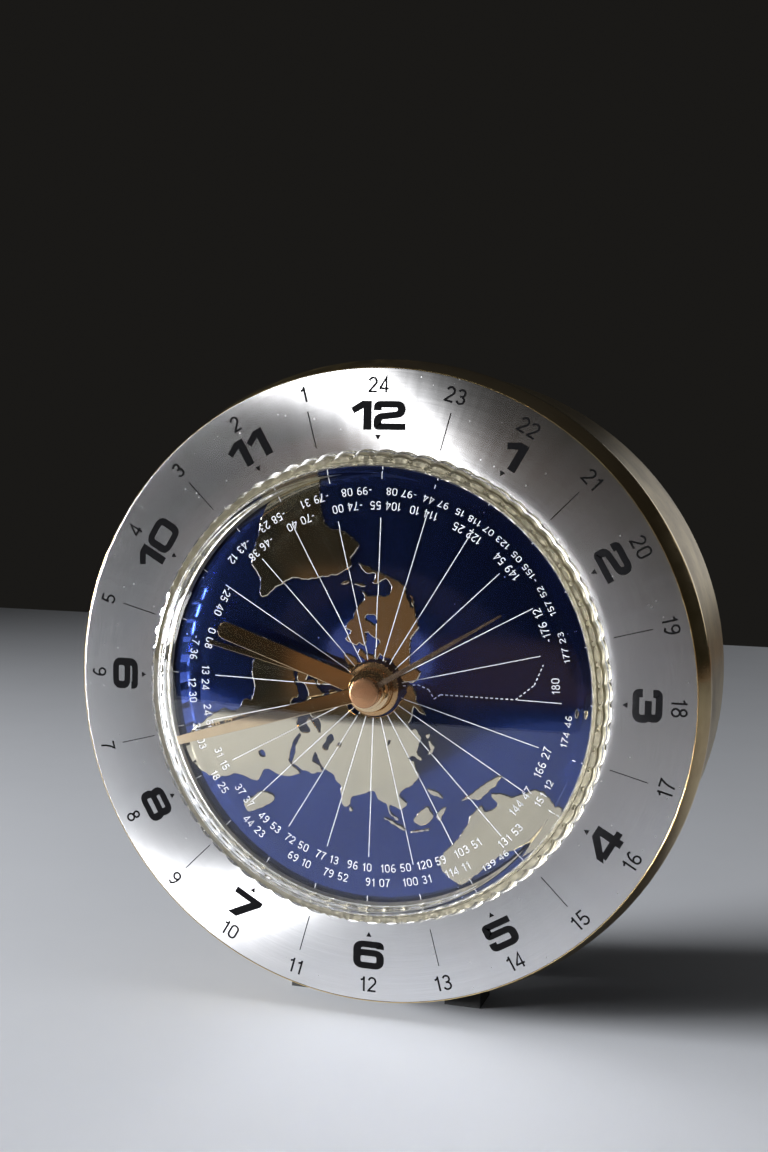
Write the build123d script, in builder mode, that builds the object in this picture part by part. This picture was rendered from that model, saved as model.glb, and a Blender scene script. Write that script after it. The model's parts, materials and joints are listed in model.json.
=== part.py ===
from build123d import *
import os
from math import atan2, cos, degrees, hypot, radians, sin, sqrt

# A round world time table clock. A brass drum holds an aluminium ring with two hour
# circles, and a fluted crystal stands over a map of the northern hemisphere seen from
# the pole, which turns once a day under the hands. Lengths are in millimetres.
# +Z is up and the dial faces -Y. The origin is the centre of the whole clock's
# footprint, on the surface that its feet stand on. A depth is measured from the front
# face of the chapter ring towards the back, so what stands in front of it is negative.

os.makedirs("parts", exist_ok=True)

# Case
case_diameter = 120.0
foot_lift = 1.3
bezel_depth = 7.6
bezel_lip_width = 0.35
bezel_flat_width = 1.2
bezel_ledge_width = 4.2
bezel_ledge_thickness = 1.2
drum_step = 0.5
drum_rear_depth = 43.0
drum_wall = 1.6
drum_spigot_wall = 0.8
drum_edge_round = 1.2
drum_ledge_width = 3.6
drum_ledge_thickness = 1.2
fit_gap = 0.05
press_gap = 0.02
running_gap = 0.05
loose_gap = 0.3
overrun = 1.0

# Chapter ring
ring_inset = 1.9
ring_width = 16.2
ring_thickness = 0.8

# Crystal
crystal_flange_width = 1.8
crystal_flange_thickness = 0.6
flute_count = 72
flute_overhang = 0.45
flute_depth = 0.42
flute_height = 3.6
flute_edge_slope = 0.9
shoulder_inset = 2.3
shoulder_height = 6.1
crown_height = 7.6
crystal_wall = 1.6

# Dial pan behind the map
pan_thickness = 0.8
pan_floor_depth = 5.0
pan_rim_width = 6.1

# Map disc
map_setback = 1.5
map_thickness = 0.8
map_overlap = 1.3
relief_height = 0.35
relief_margin = 0.3
drawn_map_radius = 43.2
drawn_inner_degree = 0.281
drawn_outer_degree = 0.512
knee_colatitude = 105.0
map_turn = 271.05
collar_radius = 4.9
collar_front = 0.5
hub_radius = 4.5
hub_thickness = 0.6

# Centre tubes, each running inside the next
arbor_radius = 0.5
tube_wall = 0.45
bush_radius = 4.0
nut_flats = 12.0
nut_thickness = 1.6

# Hands: heights are measured in front of the chapter ring
alarm_hand_height = 1.0
alarm_hand_shortfall = 6.3
alarm_hand_width = 0.9
alarm_hand_angle = 283.0
alarm_boss_radius = 3.4
hour_hand_height = 2.0
hour_hand_shortfall = 9.4
hour_hand_width = 3.3
hour_hand_angle = 288.9
hour_boss_radius = 3.8
minute_hand_height = 3.1
minute_tip_gap = 1.5
minute_hand_width = 2.5
minute_tip_width = 1.7
minute_hand_angle = 252.8
minute_boss_radius = 3.1
second_hand_height = 4.15
second_hand_shortfall = 10.1
second_hand_width = 1.0
second_tip_width = 0.4
second_hand_angle = 58.4
second_cap_radius = 2.7
second_cap_height = 1.45
second_cap_round = 0.5
hand_thickness = 0.35
boss_thickness = 0.7

# Movement: plates, case and wheel layers, from the dial to the back
movement_half_width = 30.0
movement_top = 31.5
movement_bottom = -15.6
movement_wall = 1.4
plate_thickness = 1.6
mid_plate_thickness = 1.0
wheel_thickness = 0.8
layer_gap = 0.6
fine_wheel_thickness = 0.6
pivot_radius = 0.4
stud_radius = 0.8
stud_head_radius = 1.6
cannon_hub_radius = 1.6
stem_radius = 1.2
motion_distance = 12.0
day_distance = 15.0
knob_distance = 20.0
knob_angle = 36.5
third_distance = 10.8
third_angle = -10.0
fifth_distance = 8.4
rotor_distance = 7.2

# Teeth
cannon_teeth = 12
motion_teeth = 36
motion_pinion_teeth = 10
hour_teeth = 40
idler_teeth = 40
idler_pinion_teeth = 20
day_teeth = 40
alarm_teeth = 54
alarm_pinion_teeth = 26
time_pinion_teeth = 12
centre_teeth = 64
third_pinion_teeth = 8
third_teeth = 60
second_pinion_teeth = 8
second_teeth = 48
fifth_pinion_teeth = 8
fifth_teeth = 40
rotor_pinion_teeth = 8

# Stepping motor
magnet_radius = 2.5
magnet_length = 2.4
magnet_gap = 0.6
stator_half_width = 14.0
stator_thickness = 1.0
stator_ring_radius = 4.2
stator_arm_width = 4.5
coil_length = 17.0
coil_radius = 2.4
coil_flange_radius = 2.7
coil_flange_thickness = 0.8
coil_rise = 9.9

# Circuit board
board_half_width = 24.0
board_top = 29.0
board_bottom = -12.0
board_thickness = 1.2
board_post_height = 0.8
board_post_radius = 1.5
crystal_can_radius = 1.5
crystal_can_length = 7.0
chip_radius = 3.5
chip_height = 1.0

# Battery and its tray
cell_radius = 13.1
cell_length = 48.5
cell_nub_radius = 3.75
cell_nub_length = 1.5
cell_gap = 0.35
contact_thickness = 0.4
contact_width = 10.0
contact_height = 16.0
contact_space = 2.2
tray_front_depth = 8.8
tray_rear_depth = 36.4

# Rear cover, door, knobs and switch
cover_thickness = 2.0
cover_dish_depth = 3.0
cover_edge_gap = 0.25
pillar_radius = 3.0
pillar_margin = 5.6
pillar_angles = (90, 210, 330)
pillar_rivet_radius = 1.4
screw_radius = 1.4
screw_head_radius = 2.7
screw_head_height = 1.5
screw_slot_width = 0.6
screw_slot_depth = 0.7
screw_grip = 8.0
door_side_room = 0.5
door_margin = 1.6
door_gap = 0.3
door_thickness = 1.3
door_pin_radius = 0.8
door_pin_length = 1.6
door_grip_depth = 0.5
door_grip_count = 4
door_grip_pitch = 2.0
door_grip_length = 14.0
knob_radius = 7.0
knob_height = 3.0
knob_grip_count = 24
knob_grip_radius = 0.55
knob_clearance = 0.5
knob_bore_depth = 2.2
switch_travel = 4.0
switch_cap_length = 12.0
switch_cap_width = 5.0
switch_cap_height = 1.8
switch_stem_length = 3.0
switch_stem_width = 1.8
switch_height = -4.0
switch_body_length = 16.0
switch_body_height = 3.0
buzzer_radius = 10.5
buzzer_height = 5.0
buzzer_place_height = 25.5
sound_slot_count = 5
sound_slot_length = 12.0
sound_slot_width = 1.4
sound_slot_pitch = 3.0

# Feet
foot_angle = 15.0
foot_width = 7.0
foot_length = 8.0
front_foot_depth = 11.0
rear_foot_depth = 31.0

# Where things lie
case_radius = case_diameter / 2
drum_radius = case_radius - drum_step
axis_height = case_radius + foot_lift
face_y = (crown_height - drum_rear_depth) / 2
ring_radius = case_radius - ring_inset
spigot_radius = ring_radius - ring_width
crystal_flange_radius = spigot_radius + crystal_flange_width
flute_radius = spigot_radius + flute_overhang
shoulder_radius = spigot_radius - shoulder_inset
map_radius = spigot_radius + map_overlap
relief_radius = map_radius - relief_margin
map_scale = map_radius / drawn_map_radius
inner_degree = map_scale * drawn_inner_degree
outer_degree = map_scale * drawn_outer_degree
minute_hand_length = spigot_radius - crystal_wall - minute_tip_gap
hour_hand_length = minute_hand_length - hour_hand_shortfall
alarm_hand_length = minute_hand_length - alarm_hand_shortfall
second_hand_length = minute_hand_length - second_hand_shortfall
ledge_rear = ring_thickness + bezel_ledge_thickness
pan_rim_rear = ledge_rear + pan_thickness
pan_floor_rear = pan_floor_depth + pan_thickness
drum_bore = drum_radius - drum_wall
drum_spigot_radius = drum_bore + drum_spigot_wall
pan_floor_radius = drum_spigot_radius - pan_rim_width
pillar_circle = pan_floor_radius - pillar_margin
cover_dish_radius = drum_bore - drum_ledge_width - loose_gap - cover_thickness
map_rear = map_setback + map_thickness
hub_rear = map_rear + hub_thickness
cover_front = drum_rear_depth - drum_edge_round / 2 - cover_thickness
drum_ledge_front = cover_front - drum_ledge_thickness
cover_rear = cover_front + cover_thickness
dish_front = cover_front - cover_dish_depth
dish_rear = dish_front + cover_thickness

# Tubes around the centre, from the second hand's arbor out to the fixed bush
cannon_bore = arbor_radius + running_gap
cannon_radius = cannon_bore + tube_wall
hour_bore = cannon_radius + running_gap
hour_tube_radius = hour_bore + tube_wall
alarm_bore = hour_tube_radius + running_gap
alarm_tube_radius = alarm_bore + tube_wall
day_bore = alarm_tube_radius + running_gap
day_tube_radius = day_bore + tube_wall
bush_bore = day_tube_radius + running_gap

# Wheel layers
front_plate_front = pan_floor_rear
front_plate_rear = front_plate_front + plate_thickness
day_layer = front_plate_rear + layer_gap
alarm_layer = day_layer + wheel_thickness + layer_gap
hour_layer = alarm_layer + wheel_thickness + layer_gap
idler_layer = hour_layer + wheel_thickness + layer_gap
motion_layer = idler_layer + wheel_thickness + layer_gap
mid_plate_front = motion_layer + wheel_thickness + layer_gap
mid_plate_rear = mid_plate_front + mid_plate_thickness
centre_layer = mid_plate_rear + layer_gap
third_layer = centre_layer + fine_wheel_thickness + layer_gap
second_layer = third_layer + fine_wheel_thickness + layer_gap
fifth_layer = second_layer + fine_wheel_thickness + layer_gap
housing_wall_front = fifth_layer + fine_wheel_thickness + 2 * layer_gap
housing_rear = housing_wall_front + plate_thickness
board_front = housing_rear + board_post_height
board_rear = board_front + board_thickness


def polar(distance, angle):
    """A place at a distance from the centre, the angle counted from +X towards up."""
    return (distance * cos(radians(angle)), distance * sin(radians(angle)))


def apart(a, b):
    return hypot(b[0] - a[0], b[1] - a[1])


def bearing(a, b):
    return degrees(atan2(b[1] - a[1], b[0] - a[0]))


def meeting_point(a, radius_a, b, radius_b):
    """The point at radius_a from a and radius_b from b, on the left going from a to b."""
    span = apart(a, b)
    along = (radius_a**2 - radius_b**2 + span**2) / (2 * span)
    aside = sqrt(radius_a**2 - along**2)
    ux, uy = (b[0] - a[0]) / span, (b[1] - a[1]) / span
    return (a[0] + ux * along - uy * aside, a[1] + uy * along + ux * aside)


# Axes of the wheels on the dial's face: x to the right and y up, seen from the front.
# The two setting knobs stand at the same height, one on each side.
centre = (0.0, 0.0)
time_place = polar(knob_distance, 180 - knob_angle)
alarm_place = polar(knob_distance, knob_angle)
motion_place = meeting_point(time_place, motion_distance, centre, motion_distance)
idler_place = meeting_point(centre, day_distance, motion_place, motion_distance)
third_place = polar(third_distance, third_angle)
fifth_place = (0.0, fifth_distance)
rotor_place = (0.0, fifth_distance + rotor_distance)
switch_place = (0.0, switch_height)
cell_place = (0.0, movement_bottom - movement_wall - cell_gap - cell_radius)
cell_depth = (tray_front_depth + movement_wall + cell_gap) + cell_radius
pillar_places = [polar(pillar_circle, angle) for angle in pillar_angles]


def face_at(depth):
    """The plane across the clock at a depth, seen from the front, its normal forwards."""
    return Plane(origin=(0, face_y + depth, axis_height), x_dir=(1, 0, 0), z_dir=(0, -1, 0))


def section_at(place=centre):
    """The plane through an axis: x is the radius and y the depth."""
    origin = (place[0], face_y, axis_height + place[1])
    return Plane(origin=origin, x_dir=(1, 0, 0), z_dir=(0, 0, 1))


def axis_at(place=centre):
    return Axis((place[0], face_y, axis_height + place[1]), (0, 1, 0))


def hand_plane(height, angle):
    """The plane in front of the ring, with x along a hand, angle clockwise from 12."""
    along = (sin(radians(angle)), 0, cos(radians(angle)))
    origin = (0, face_y - height, axis_height)
    return Plane(origin=origin, x_dir=along, z_dir=(0, -1, 0))


def turned(points, place=centre, mode=Mode.ADD):
    """A solid turned about an axis from (radius, depth) points."""
    with BuildSketch(section_at(place)) as outline:
        with BuildLine():
            Polyline(*points, close=True)
        make_face()
    revolve(outline.sketch, axis=axis_at(place), mode=mode)


def rod(place, front, rear, radius, mode=Mode.ADD):
    with BuildSketch(face_at(rear)) as outline:
        with Locations(place):
            Circle(radius)
    extrude(outline.sketch, amount=rear - front, mode=mode)


def tube(front, rear, bore, radius, place=centre):
    with BuildSketch(face_at(rear)) as outline:
        with Locations(place):
            Circle(radius)
            Circle(bore, mode=Mode.SUBTRACT)
    extrude(outline.sketch, amount=rear - front)


def slab(left, bottom, right, top, front, rear, mode=Mode.ADD):
    with BuildSketch(face_at(rear)) as outline:
        with Locations(((left + right) / 2, (bottom + top) / 2)):
            Rectangle(right - left, top - bottom)
    extrude(outline.sketch, amount=rear - front, mode=mode)


def module_for(distance, teeth, other_teeth):
    return 2 * distance / (teeth + other_teeth)


addendum_share = 0.75
dedendum_share = 1.05
root_half_shares = 0.30
tip_half_shares = 0.12


def wheel(place, layer, thickness, teeth, module, first_tooth):
    """A toothed wheel or pinion, its first tooth at an angle from +X towards up."""
    root = module * (teeth / 2 - dedendum_share)
    tip = module * (teeth / 2 + addendum_share)
    pitch = 360 / teeth
    points = []
    for number in range(teeth):
        middle = first_tooth + number * pitch
        for radius, turn in (
            (root, -root_half_shares),
            (tip, -tip_half_shares),
            (tip, tip_half_shares),
            (root, root_half_shares),
        ):
            x, y = polar(radius, middle + turn * pitch)
            points.append((place[0] + x, place[1] + y))
    with BuildSketch(face_at(layer + thickness)) as outline:
        with BuildLine():
            Polyline(*points, close=True)
        make_face()
    extrude(outline.sketch, amount=thickness)


def meshed(first_tooth, teeth, other_teeth, direction):
    """Where the other wheel's first tooth is, in mesh, with its axis in a direction."""
    share = (first_tooth - direction) * teeth / 360
    return direction + 180 + (0.5 - share) * 360 / other_teeth


def save(piece, name):
    piece.part.label = name
    export_step(piece.part, f"parts/{name}.step")


# Where the first tooth of each wheel lies, so that the whole train is in mesh
cannon_start = 0.0
motion_start = meshed(cannon_start, cannon_teeth, motion_teeth, bearing(centre, motion_place))
time_start = meshed(
    motion_start, motion_teeth, time_pinion_teeth, bearing(motion_place, time_place)
)
motion_pinion_start = 0.0
hour_start = meshed(
    motion_pinion_start, motion_pinion_teeth, hour_teeth, bearing(motion_place, centre)
)
idler_start = meshed(
    motion_pinion_start, motion_pinion_teeth, idler_teeth, bearing(motion_place, idler_place)
)
idler_pinion_start = 0.0
day_start = meshed(
    idler_pinion_start, idler_pinion_teeth, day_teeth, bearing(idler_place, centre)
)
alarm_start = 0.0
alarm_pinion_start = meshed(
    alarm_start, alarm_teeth, alarm_pinion_teeth, bearing(centre, alarm_place)
)
centre_start = 0.0
third_pinion_start = meshed(
    centre_start, centre_teeth, third_pinion_teeth, bearing(centre, third_place)
)
third_start = 0.0
second_pinion_start = meshed(
    third_start, third_teeth, second_pinion_teeth, bearing(third_place, centre)
)
second_start = 0.0
fifth_pinion_start = meshed(
    second_start, second_teeth, fifth_pinion_teeth, bearing(centre, fifth_place)
)
fifth_start = 0.0
rotor_pinion_start = meshed(
    fifth_start, fifth_teeth, rotor_pinion_teeth, bearing(fifth_place, rotor_place)
)

# Front bezel: a polished brass hoop that flares back from a thin lip around the ring
bezel_bore = ring_radius + fit_gap
with BuildPart() as front_bezel:
    turned(
        [
            (bezel_bore, 0),
            (bezel_bore + bezel_lip_width, 0),
            (case_radius, bezel_depth - bezel_flat_width),
            (case_radius, bezel_depth),
            (drum_spigot_radius + press_gap, bezel_depth),
            (drum_spigot_radius + press_gap, ledge_rear),
            (ring_radius - bezel_ledge_width, ledge_rear),
            (ring_radius - bezel_ledge_width, ring_thickness),
            (bezel_bore, ring_thickness),
        ]
    )
save(front_bezel, "front_bezel")

# Drum: the satin brass wall behind the bezel, with a spigot in front and a ledge inside
with BuildPart() as case_drum:
    with BuildSketch(section_at()):
        with BuildLine():
            Polyline(
                (drum_radius, drum_rear_depth - drum_edge_round),
                (drum_radius, bezel_depth),
                (drum_spigot_radius, bezel_depth),
                (drum_spigot_radius, pan_rim_rear),
                (drum_bore, pan_rim_rear),
                (drum_bore, drum_ledge_front),
                (drum_bore - drum_ledge_width, drum_ledge_front),
                (drum_bore - drum_ledge_width, cover_front),
                (drum_bore, cover_front),
                (drum_bore, drum_rear_depth),
                (drum_radius - drum_edge_round, drum_rear_depth),
            )
            RadiusArc(
                (drum_radius - drum_edge_round, drum_rear_depth),
                (drum_radius, drum_rear_depth - drum_edge_round),
                drum_edge_round,
            )
        make_face()
    revolve(axis=axis_at())
save(case_drum, "case_drum")

# Chapter ring: the flat aluminium ring that carries both hour circles
with BuildPart() as chapter_ring:
    tube(0, ring_thickness, spigot_radius + fit_gap, ring_radius)
save(chapter_ring, "chapter_ring")

# Crystal: a clear cap with a fluted wall, a rounded shoulder and a slightly domed front
flute_valley = flute_radius - flute_depth
wall_bottom = -crystal_flange_thickness
wall_top = wall_bottom - flute_height


def dome_middle(edge_radius, edge_height, top_height):
    """The point half way out on a spherical dome, as (radius, depth)."""
    rise = top_height - edge_height
    ball = (edge_radius**2 + rise**2) / (2 * rise)
    drop = ball - sqrt(ball**2 - (edge_radius / 2) ** 2)
    return (edge_radius / 2, drop - top_height)


inner_edge = (shoulder_radius - crystal_wall, crystal_wall - shoulder_height)
with BuildPart() as crystal:
    with BuildSketch(section_at()):
        with BuildLine():
            Polyline(
                (0, wall_bottom),
                (flute_radius, wall_bottom),
                (flute_radius, wall_top),
                (flute_radius - flute_edge_slope, wall_top - flute_edge_slope / 2),
                (shoulder_radius, -shoulder_height),
            )
            ThreePointArc(
                (shoulder_radius, -shoulder_height),
                dome_middle(shoulder_radius, shoulder_height, crown_height),
                (0, -crown_height),
            )
            Line((0, -crown_height), (0, wall_bottom))
        make_face()
    revolve(axis=axis_at())
    with BuildSketch(face_at(wall_bottom)):
        with BuildLine():
            for number in range(flute_count):
                start = number * 360 / flute_count
                half = 180 / flute_count
                ThreePointArc(
                    polar(flute_valley, start),
                    polar(flute_radius, start + half),
                    polar(flute_valley, start + 2 * half),
                )
        make_face()
    extrude(amount=crown_height + overrun, mode=Mode.INTERSECT)
    rod(centre, wall_bottom, 0, crystal_flange_radius)
    rod(centre, 0, ring_thickness, spigot_radius)
    with BuildSketch(section_at()):
        with BuildLine():
            Polyline(
                (0, ring_thickness + overrun),
                (spigot_radius - crystal_wall, ring_thickness + overrun),
                (spigot_radius - crystal_wall, wall_top + flute_edge_slope),
                inner_edge,
            )
            ThreePointArc(
                inner_edge,
                dome_middle(inner_edge[0], -inner_edge[1], crown_height - crystal_wall),
                (0, crystal_wall - crown_height),
            )
            Line((0, crystal_wall - crown_height), (0, ring_thickness + overrun))
        make_face()
    revolve(axis=axis_at(), mode=Mode.SUBTRACT)
save(crystal, "crystal")

# Dial pan: a pressed plate behind the map, clamped by its rim between bezel and drum
pan_rim_radius = drum_spigot_radius
with BuildPart() as dial_pan:
    turned(
        [
            (bush_radius + fit_gap, pan_floor_depth),
            (pan_floor_radius, pan_floor_depth),
            (pan_floor_radius, ledge_rear),
            (pan_rim_radius, ledge_rear),
            (pan_rim_radius, pan_rim_rear),
            (pan_floor_radius + pan_thickness, pan_rim_rear),
            (pan_floor_radius + pan_thickness, pan_floor_rear),
            (bush_radius + fit_gap, pan_floor_rear),
        ]
    )
    for place in pillar_places:
        rod(place, pan_floor_depth, pan_floor_rear, pillar_rivet_radius + press_gap, Mode.SUBTRACT)
save(dial_pan, "dial_pan")

# Pillars: three posts riveted to the pan, which take the rear cover's screws
with BuildPart() as case_pillars:
    for place in pillar_places:
        rod(place, pan_floor_rear, dish_front, pillar_radius)
        rod(place, pan_floor_depth, pan_floor_rear, pillar_rivet_radius)
        rod(place, dish_front - screw_grip, dish_front, screw_radius + press_gap, Mode.SUBTRACT)
save(case_pillars, "case_pillars")

# Map disc: the blue plate of the sea
with BuildPart() as map_disc:
    tube(map_setback, map_rear, day_tube_radius + press_gap, map_radius)
save(map_disc, "map_disc")


def map_radius_of(latitude):
    """Distance from the pole on the map, which stretches past the equator."""
    colatitude = 90 - latitude
    inner = min(colatitude, knee_colatitude)
    outer = max(colatitude - knee_colatitude, 0)
    return inner_degree * inner + outer_degree * outer


def map_place(latitude, longitude):
    clockwise = map_turn - longitude
    return polar(map_radius_of(latitude), 90 - clockwise)


# Coasts as (latitude, longitude) in degrees. A land that the rim cuts runs past it.
coasts = {
    "old_world": [
        (36.2, -5.6), (37, -9), (43.2, -9.2), (43.5, -1.8), (48.4, -4.6), (51, 2),
        (53.6, 8), (57.6, 9.5), (54.2, 12), (54.6, 19), (59, 23), (60.2, 29), (63, 21.5),
        (65.7, 24), (60.5, 17.5), (56, 15), (59, 10.5), (58.3, 6.5), (62.3, 5), (69, 16),
        (71, 27), (67, 41), (68.5, 55), (72.5, 70), (73.5, 84), (77.6, 104), (73, 118),
        (71.5, 132), (72, 150), (69.5, 168), (68, 184), (65.8, 190), (62.3, 179),
        (60, 168), (56, 162.5), (51.2, 157), (57, 156), (61.5, 163), (59.3, 151),
        (58, 140), (54, 137), (52.5, 141), (46, 138), (43, 132), (39.5, 127.6),
        (35.2, 129.3), (34.5, 126.5), (38, 125), (40, 121.5), (38.8, 117.8), (37, 122),
        (32, 121.6), (27, 120.3), (22.5, 114.5), (21.5, 109.5), (18.5, 106), (13, 109.2),
        (9, 105), (13, 100.3), (8, 100), (1.5, 104), (7, 99.6), (14, 97.8), (16.4, 94.5),
        (22.3, 91), (20, 86.5), (15.6, 80.6), (10.2, 79.6), (8, 77.5), (13, 74.6),
        (20.5, 72.7), (22, 69), (25, 66.5), (25.6, 58), (30, 49.5), (24.5, 51.5),
        (25.8, 56.2), (22.5, 59.8), (17, 55), (12.8, 45), (16, 42.8), (22, 38.8),
        (29.3, 34.8), (27.5, 33.8), (20, 37.2), (12.6, 43), (11.6, 51), (2, 46),
        (-5, 39.2), (-15, 40.8), (-20, 35), (-26, 33), (-30, 31), (-34, 26), (-34.8, 20),
        (-33, 18), (-26, 15), (-17, 11.8), (-9, 13.3), (-1, 9), (4.2, 9.2), (6.3, 3),
        (4.6, -2), (4.4, -7.8), (8.5, -13.3), (14.7, -17.3), (21, -17), (28, -12.5),
        (33.5, -7.6), (35, -2), (37, 10), (33, 11), (30.4, 19), (32.6, 23), (31, 30),
        (32, 34.6), (36.6, 36), (36.6, 30), (40, 26.5), (41.8, 34), (41.4, 41.5),
        (45.2, 37), (45.8, 31), (42, 28), (40.6, 23), (36.8, 22.4), (40.6, 19.4),
        (45.5, 13.8), (42, 15), (40.3, 18.3), (38, 16), (41, 13.4), (44.2, 9), (43.2, 4),
        (41, 1.4), (37, -1.2),
    ],
    "north_america": [
        (65.6, -168), (71.2, -156), (69.6, -140), (68, -120), (68.5, -108), (67.5, -98),
        (71.5, -94), (68, -86), (63.5, -91), (58.8, -94), (55.2, -82), (51.4, -80),
        (58.5, -78), (62.3, -75), (58.3, -68), (60.2, -64.8), (52.5, -56), (50, -64),
        (46.5, -60.5), (43.6, -65.8), (41.5, -70.3), (35.3, -75.8), (31, -81.3),
        (25.3, -80.4), (29.8, -84), (29.3, -90.5), (28, -97), (21.5, -97.4), (18.4, -94),
        (21.2, -90.2), (21.4, -87), (15.8, -88.4), (14.8, -83.5), (9.2, -80.5),
        (7.4, -80.6), (13, -88), (16, -95.5), (19.5, -105), (23.4, -106.6), (30.8, -113),
        (23.2, -109.7), (33, -117.4), (40.3, -124.3), (48, -124.4), (54.5, -130.6),
        (59.6, -140), (60.8, -147), (56.6, -158), (60, -164),
    ],
    "south_america": [
        (8.6, -77.2), (12.3, -71.6), (10.4, -62.5), (5.8, -54), (0.2, -50), (-2.6, -43),
        (-5.4, -35.3), (-9, -35), (-15, -39), (-22.8, -42), (-27, -48.6), (-34.5, -55),
        (-38.6, -60), (-46, -66), (-52, -69), (-50, -75), (-40, -73.7), (-30, -71.5),
        (-18.4, -70.5), (-13.8, -76.3), (-5, -81.2), (-0.5, -80.4), (3.8, -77.3),
    ],
    "australia": [
        (-12, 131), (-15, 129), (-18, 122.2), (-21.8, 114.2), (-26.5, 113.6),
        (-31.8, 115.8), (-34.8, 118), (-32, 126), (-31.6, 131.2), (-35.2, 138),
        (-38.6, 145), (-37.4, 150), (-32.6, 152.6), (-25, 153), (-19.4, 147),
        (-14.6, 144.6), (-11, 142.5), (-17, 140.8), (-15.6, 136.4), (-12.2, 136.8),
    ],
    "greenland": [
        (60, -44), (65.6, -53.5), (71, -55), (76, -66), (81.4, -62), (83.4, -34),
        (81.5, -14), (76, -19.6), (70.4, -23), (66, -36),
    ],
    "baffin": [(62, -66), (66.4, -73), (70, -90), (73.4, -84), (70.6, -68), (66.5, -61.5)],
    "victoria": [(69, -106), (71.5, -118), (73.4, -112), (72.4, -104)],
    "madagascar": [(-12.2, 49.2), (-16, 44.6), (-24, 43.8), (-25.3, 46.8), (-17, 50)],
    "new_guinea": [(-1, 131), (-4, 135), (-8.6, 138), (-10.4, 150), (-6, 148), (-2.4, 140)],
    "borneo": [(1.6, 109.4), (-3.8, 111.6), (-3.6, 116), (1, 118.6), (6.6, 116.8)],
    "sumatra": [(5.5, 95.6), (-5.6, 104.6), (-5.4, 105.8), (-0.6, 103.6), (4.6, 98)],
    "java": [(-6.4, 105.4), (-8.4, 114.4), (-7.2, 114.4), (-5.9, 107)],
    "celebes": [(1, 124.8), (-3, 122), (-5.4, 120), (-3, 119), (0.8, 120.4)],
    "philippines": [(18.5, 121), (13, 121.4), (6.4, 125.4), (9.6, 126), (16, 122.6)],
    "honshu": [(35, 132.4), (34, 136), (36, 140.6), (41.2, 141), (37, 136.8)],
    "hokkaido": [(42, 140.2), (43.2, 145.4), (45.3, 142)],
    "britain": [(50.2, -5), (51.2, 1), (54.6, -0.8), (58.4, -3.2), (55, -5)],
    "ireland": [(52, -10), (52.3, -6.4), (55, -7)],
    "iceland": [(64, -22.4), (63.6, -18), (65.6, -14), (66.2, -22)],
    "cuba": [(22.8, -83.6), (20, -77.4), (20.2, -74.6), (23.2, -81)],
    "hispaniola": [(18.2, -74), (18.4, -68.6), (19.8, -70.4), (19.8, -73)],
    "ceylon": [(9.6, 80), (6, 80.6), (7.6, 82)],
}

# A small island far south, which the map draws nearer to the pole than it is
far_island_angle = 93.5
drawn_island_radius = 37.9
far_island_radius = map_scale * drawn_island_radius
far_island_length = 1.7
far_island_width = 0.8

# Land: raised gold plates on the map disc
with BuildPart() as land_relief:
    with BuildSketch(face_at(map_setback)):
        for coast in coasts.values():
            with BuildLine():
                Polyline(*[map_place(*point) for point in coast], close=True)
            make_face()
        with Locations(polar(far_island_radius, 90 - far_island_angle)):
            Ellipse(far_island_width / 2, far_island_length / 2)
        Circle(relief_radius, mode=Mode.INTERSECT)
        Circle(collar_radius + loose_gap, mode=Mode.SUBTRACT)
    extrude(amount=relief_height)
save(land_relief, "land_relief")

# Day wheel: the twenty-four hour wheel, with its tube and the flange behind the map
day_module = module_for(day_distance, day_teeth, idler_pinion_teeth)
with BuildPart() as day_wheel:
    wheel(centre, day_layer, wheel_thickness, day_teeth, day_module, day_start)
    rod(centre, map_setback, day_layer + wheel_thickness, day_tube_radius)
    rod(centre, map_rear, hub_rear, hub_radius)
    rod(centre, -overrun, day_layer + wheel_thickness + overrun, day_bore, Mode.SUBTRACT)
save(day_wheel, "day_wheel")

# Map collar: the turned ring that holds the map against its flange
with BuildPart() as map_collar:
    turned(
        [
            (day_bore, -collar_front),
            (collar_radius - hand_thickness, -collar_front),
            (collar_radius, hand_thickness - collar_front),
            (collar_radius, map_setback),
            (day_bore, map_setback),
        ]
    )
save(map_collar, "map_collar")


def boss_front(height):
    """The front of a hand's boss, which stands out alike before and behind the blade."""
    return -(height + (hand_thickness + boss_thickness) / 2)


def boss_with_bore(height, radius, bore):
    tube(boss_front(height), boss_front(height) + boss_thickness, bore, radius)


# Alarm hand: a thin gold strip, lowest of the four
with BuildPart() as alarm_hand:
    with BuildSketch(hand_plane(alarm_hand_height, alarm_hand_angle)):
        with BuildLine():
            Polyline(
                (0, alarm_hand_width / 2),
                (alarm_hand_length - alarm_hand_width / 2, alarm_hand_width / 2),
                (alarm_hand_length, 0),
                (alarm_hand_length - alarm_hand_width / 2, -alarm_hand_width / 2),
                (0, -alarm_hand_width / 2),
                close=True,
            )
        make_face()
    extrude(amount=hand_thickness)
    rod(centre, -hour_hand_height, 0, alarm_tube_radius + press_gap, Mode.SUBTRACT)
    boss_with_bore(alarm_hand_height, alarm_boss_radius, alarm_tube_radius + press_gap)
save(alarm_hand, "alarm_hand")

# Hour hand: a baton with a square end
with BuildPart() as hour_hand:
    with BuildSketch(hand_plane(hour_hand_height, hour_hand_angle)):
        with Locations((hour_hand_length / 2, 0)):
            Rectangle(hour_hand_length, hour_hand_width)
    extrude(amount=hand_thickness)
    rod(centre, -minute_hand_height, 0, hour_tube_radius + press_gap, Mode.SUBTRACT)
    boss_with_bore(hour_hand_height, hour_boss_radius, hour_tube_radius + press_gap)
save(hour_hand, "hour_hand")

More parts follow.
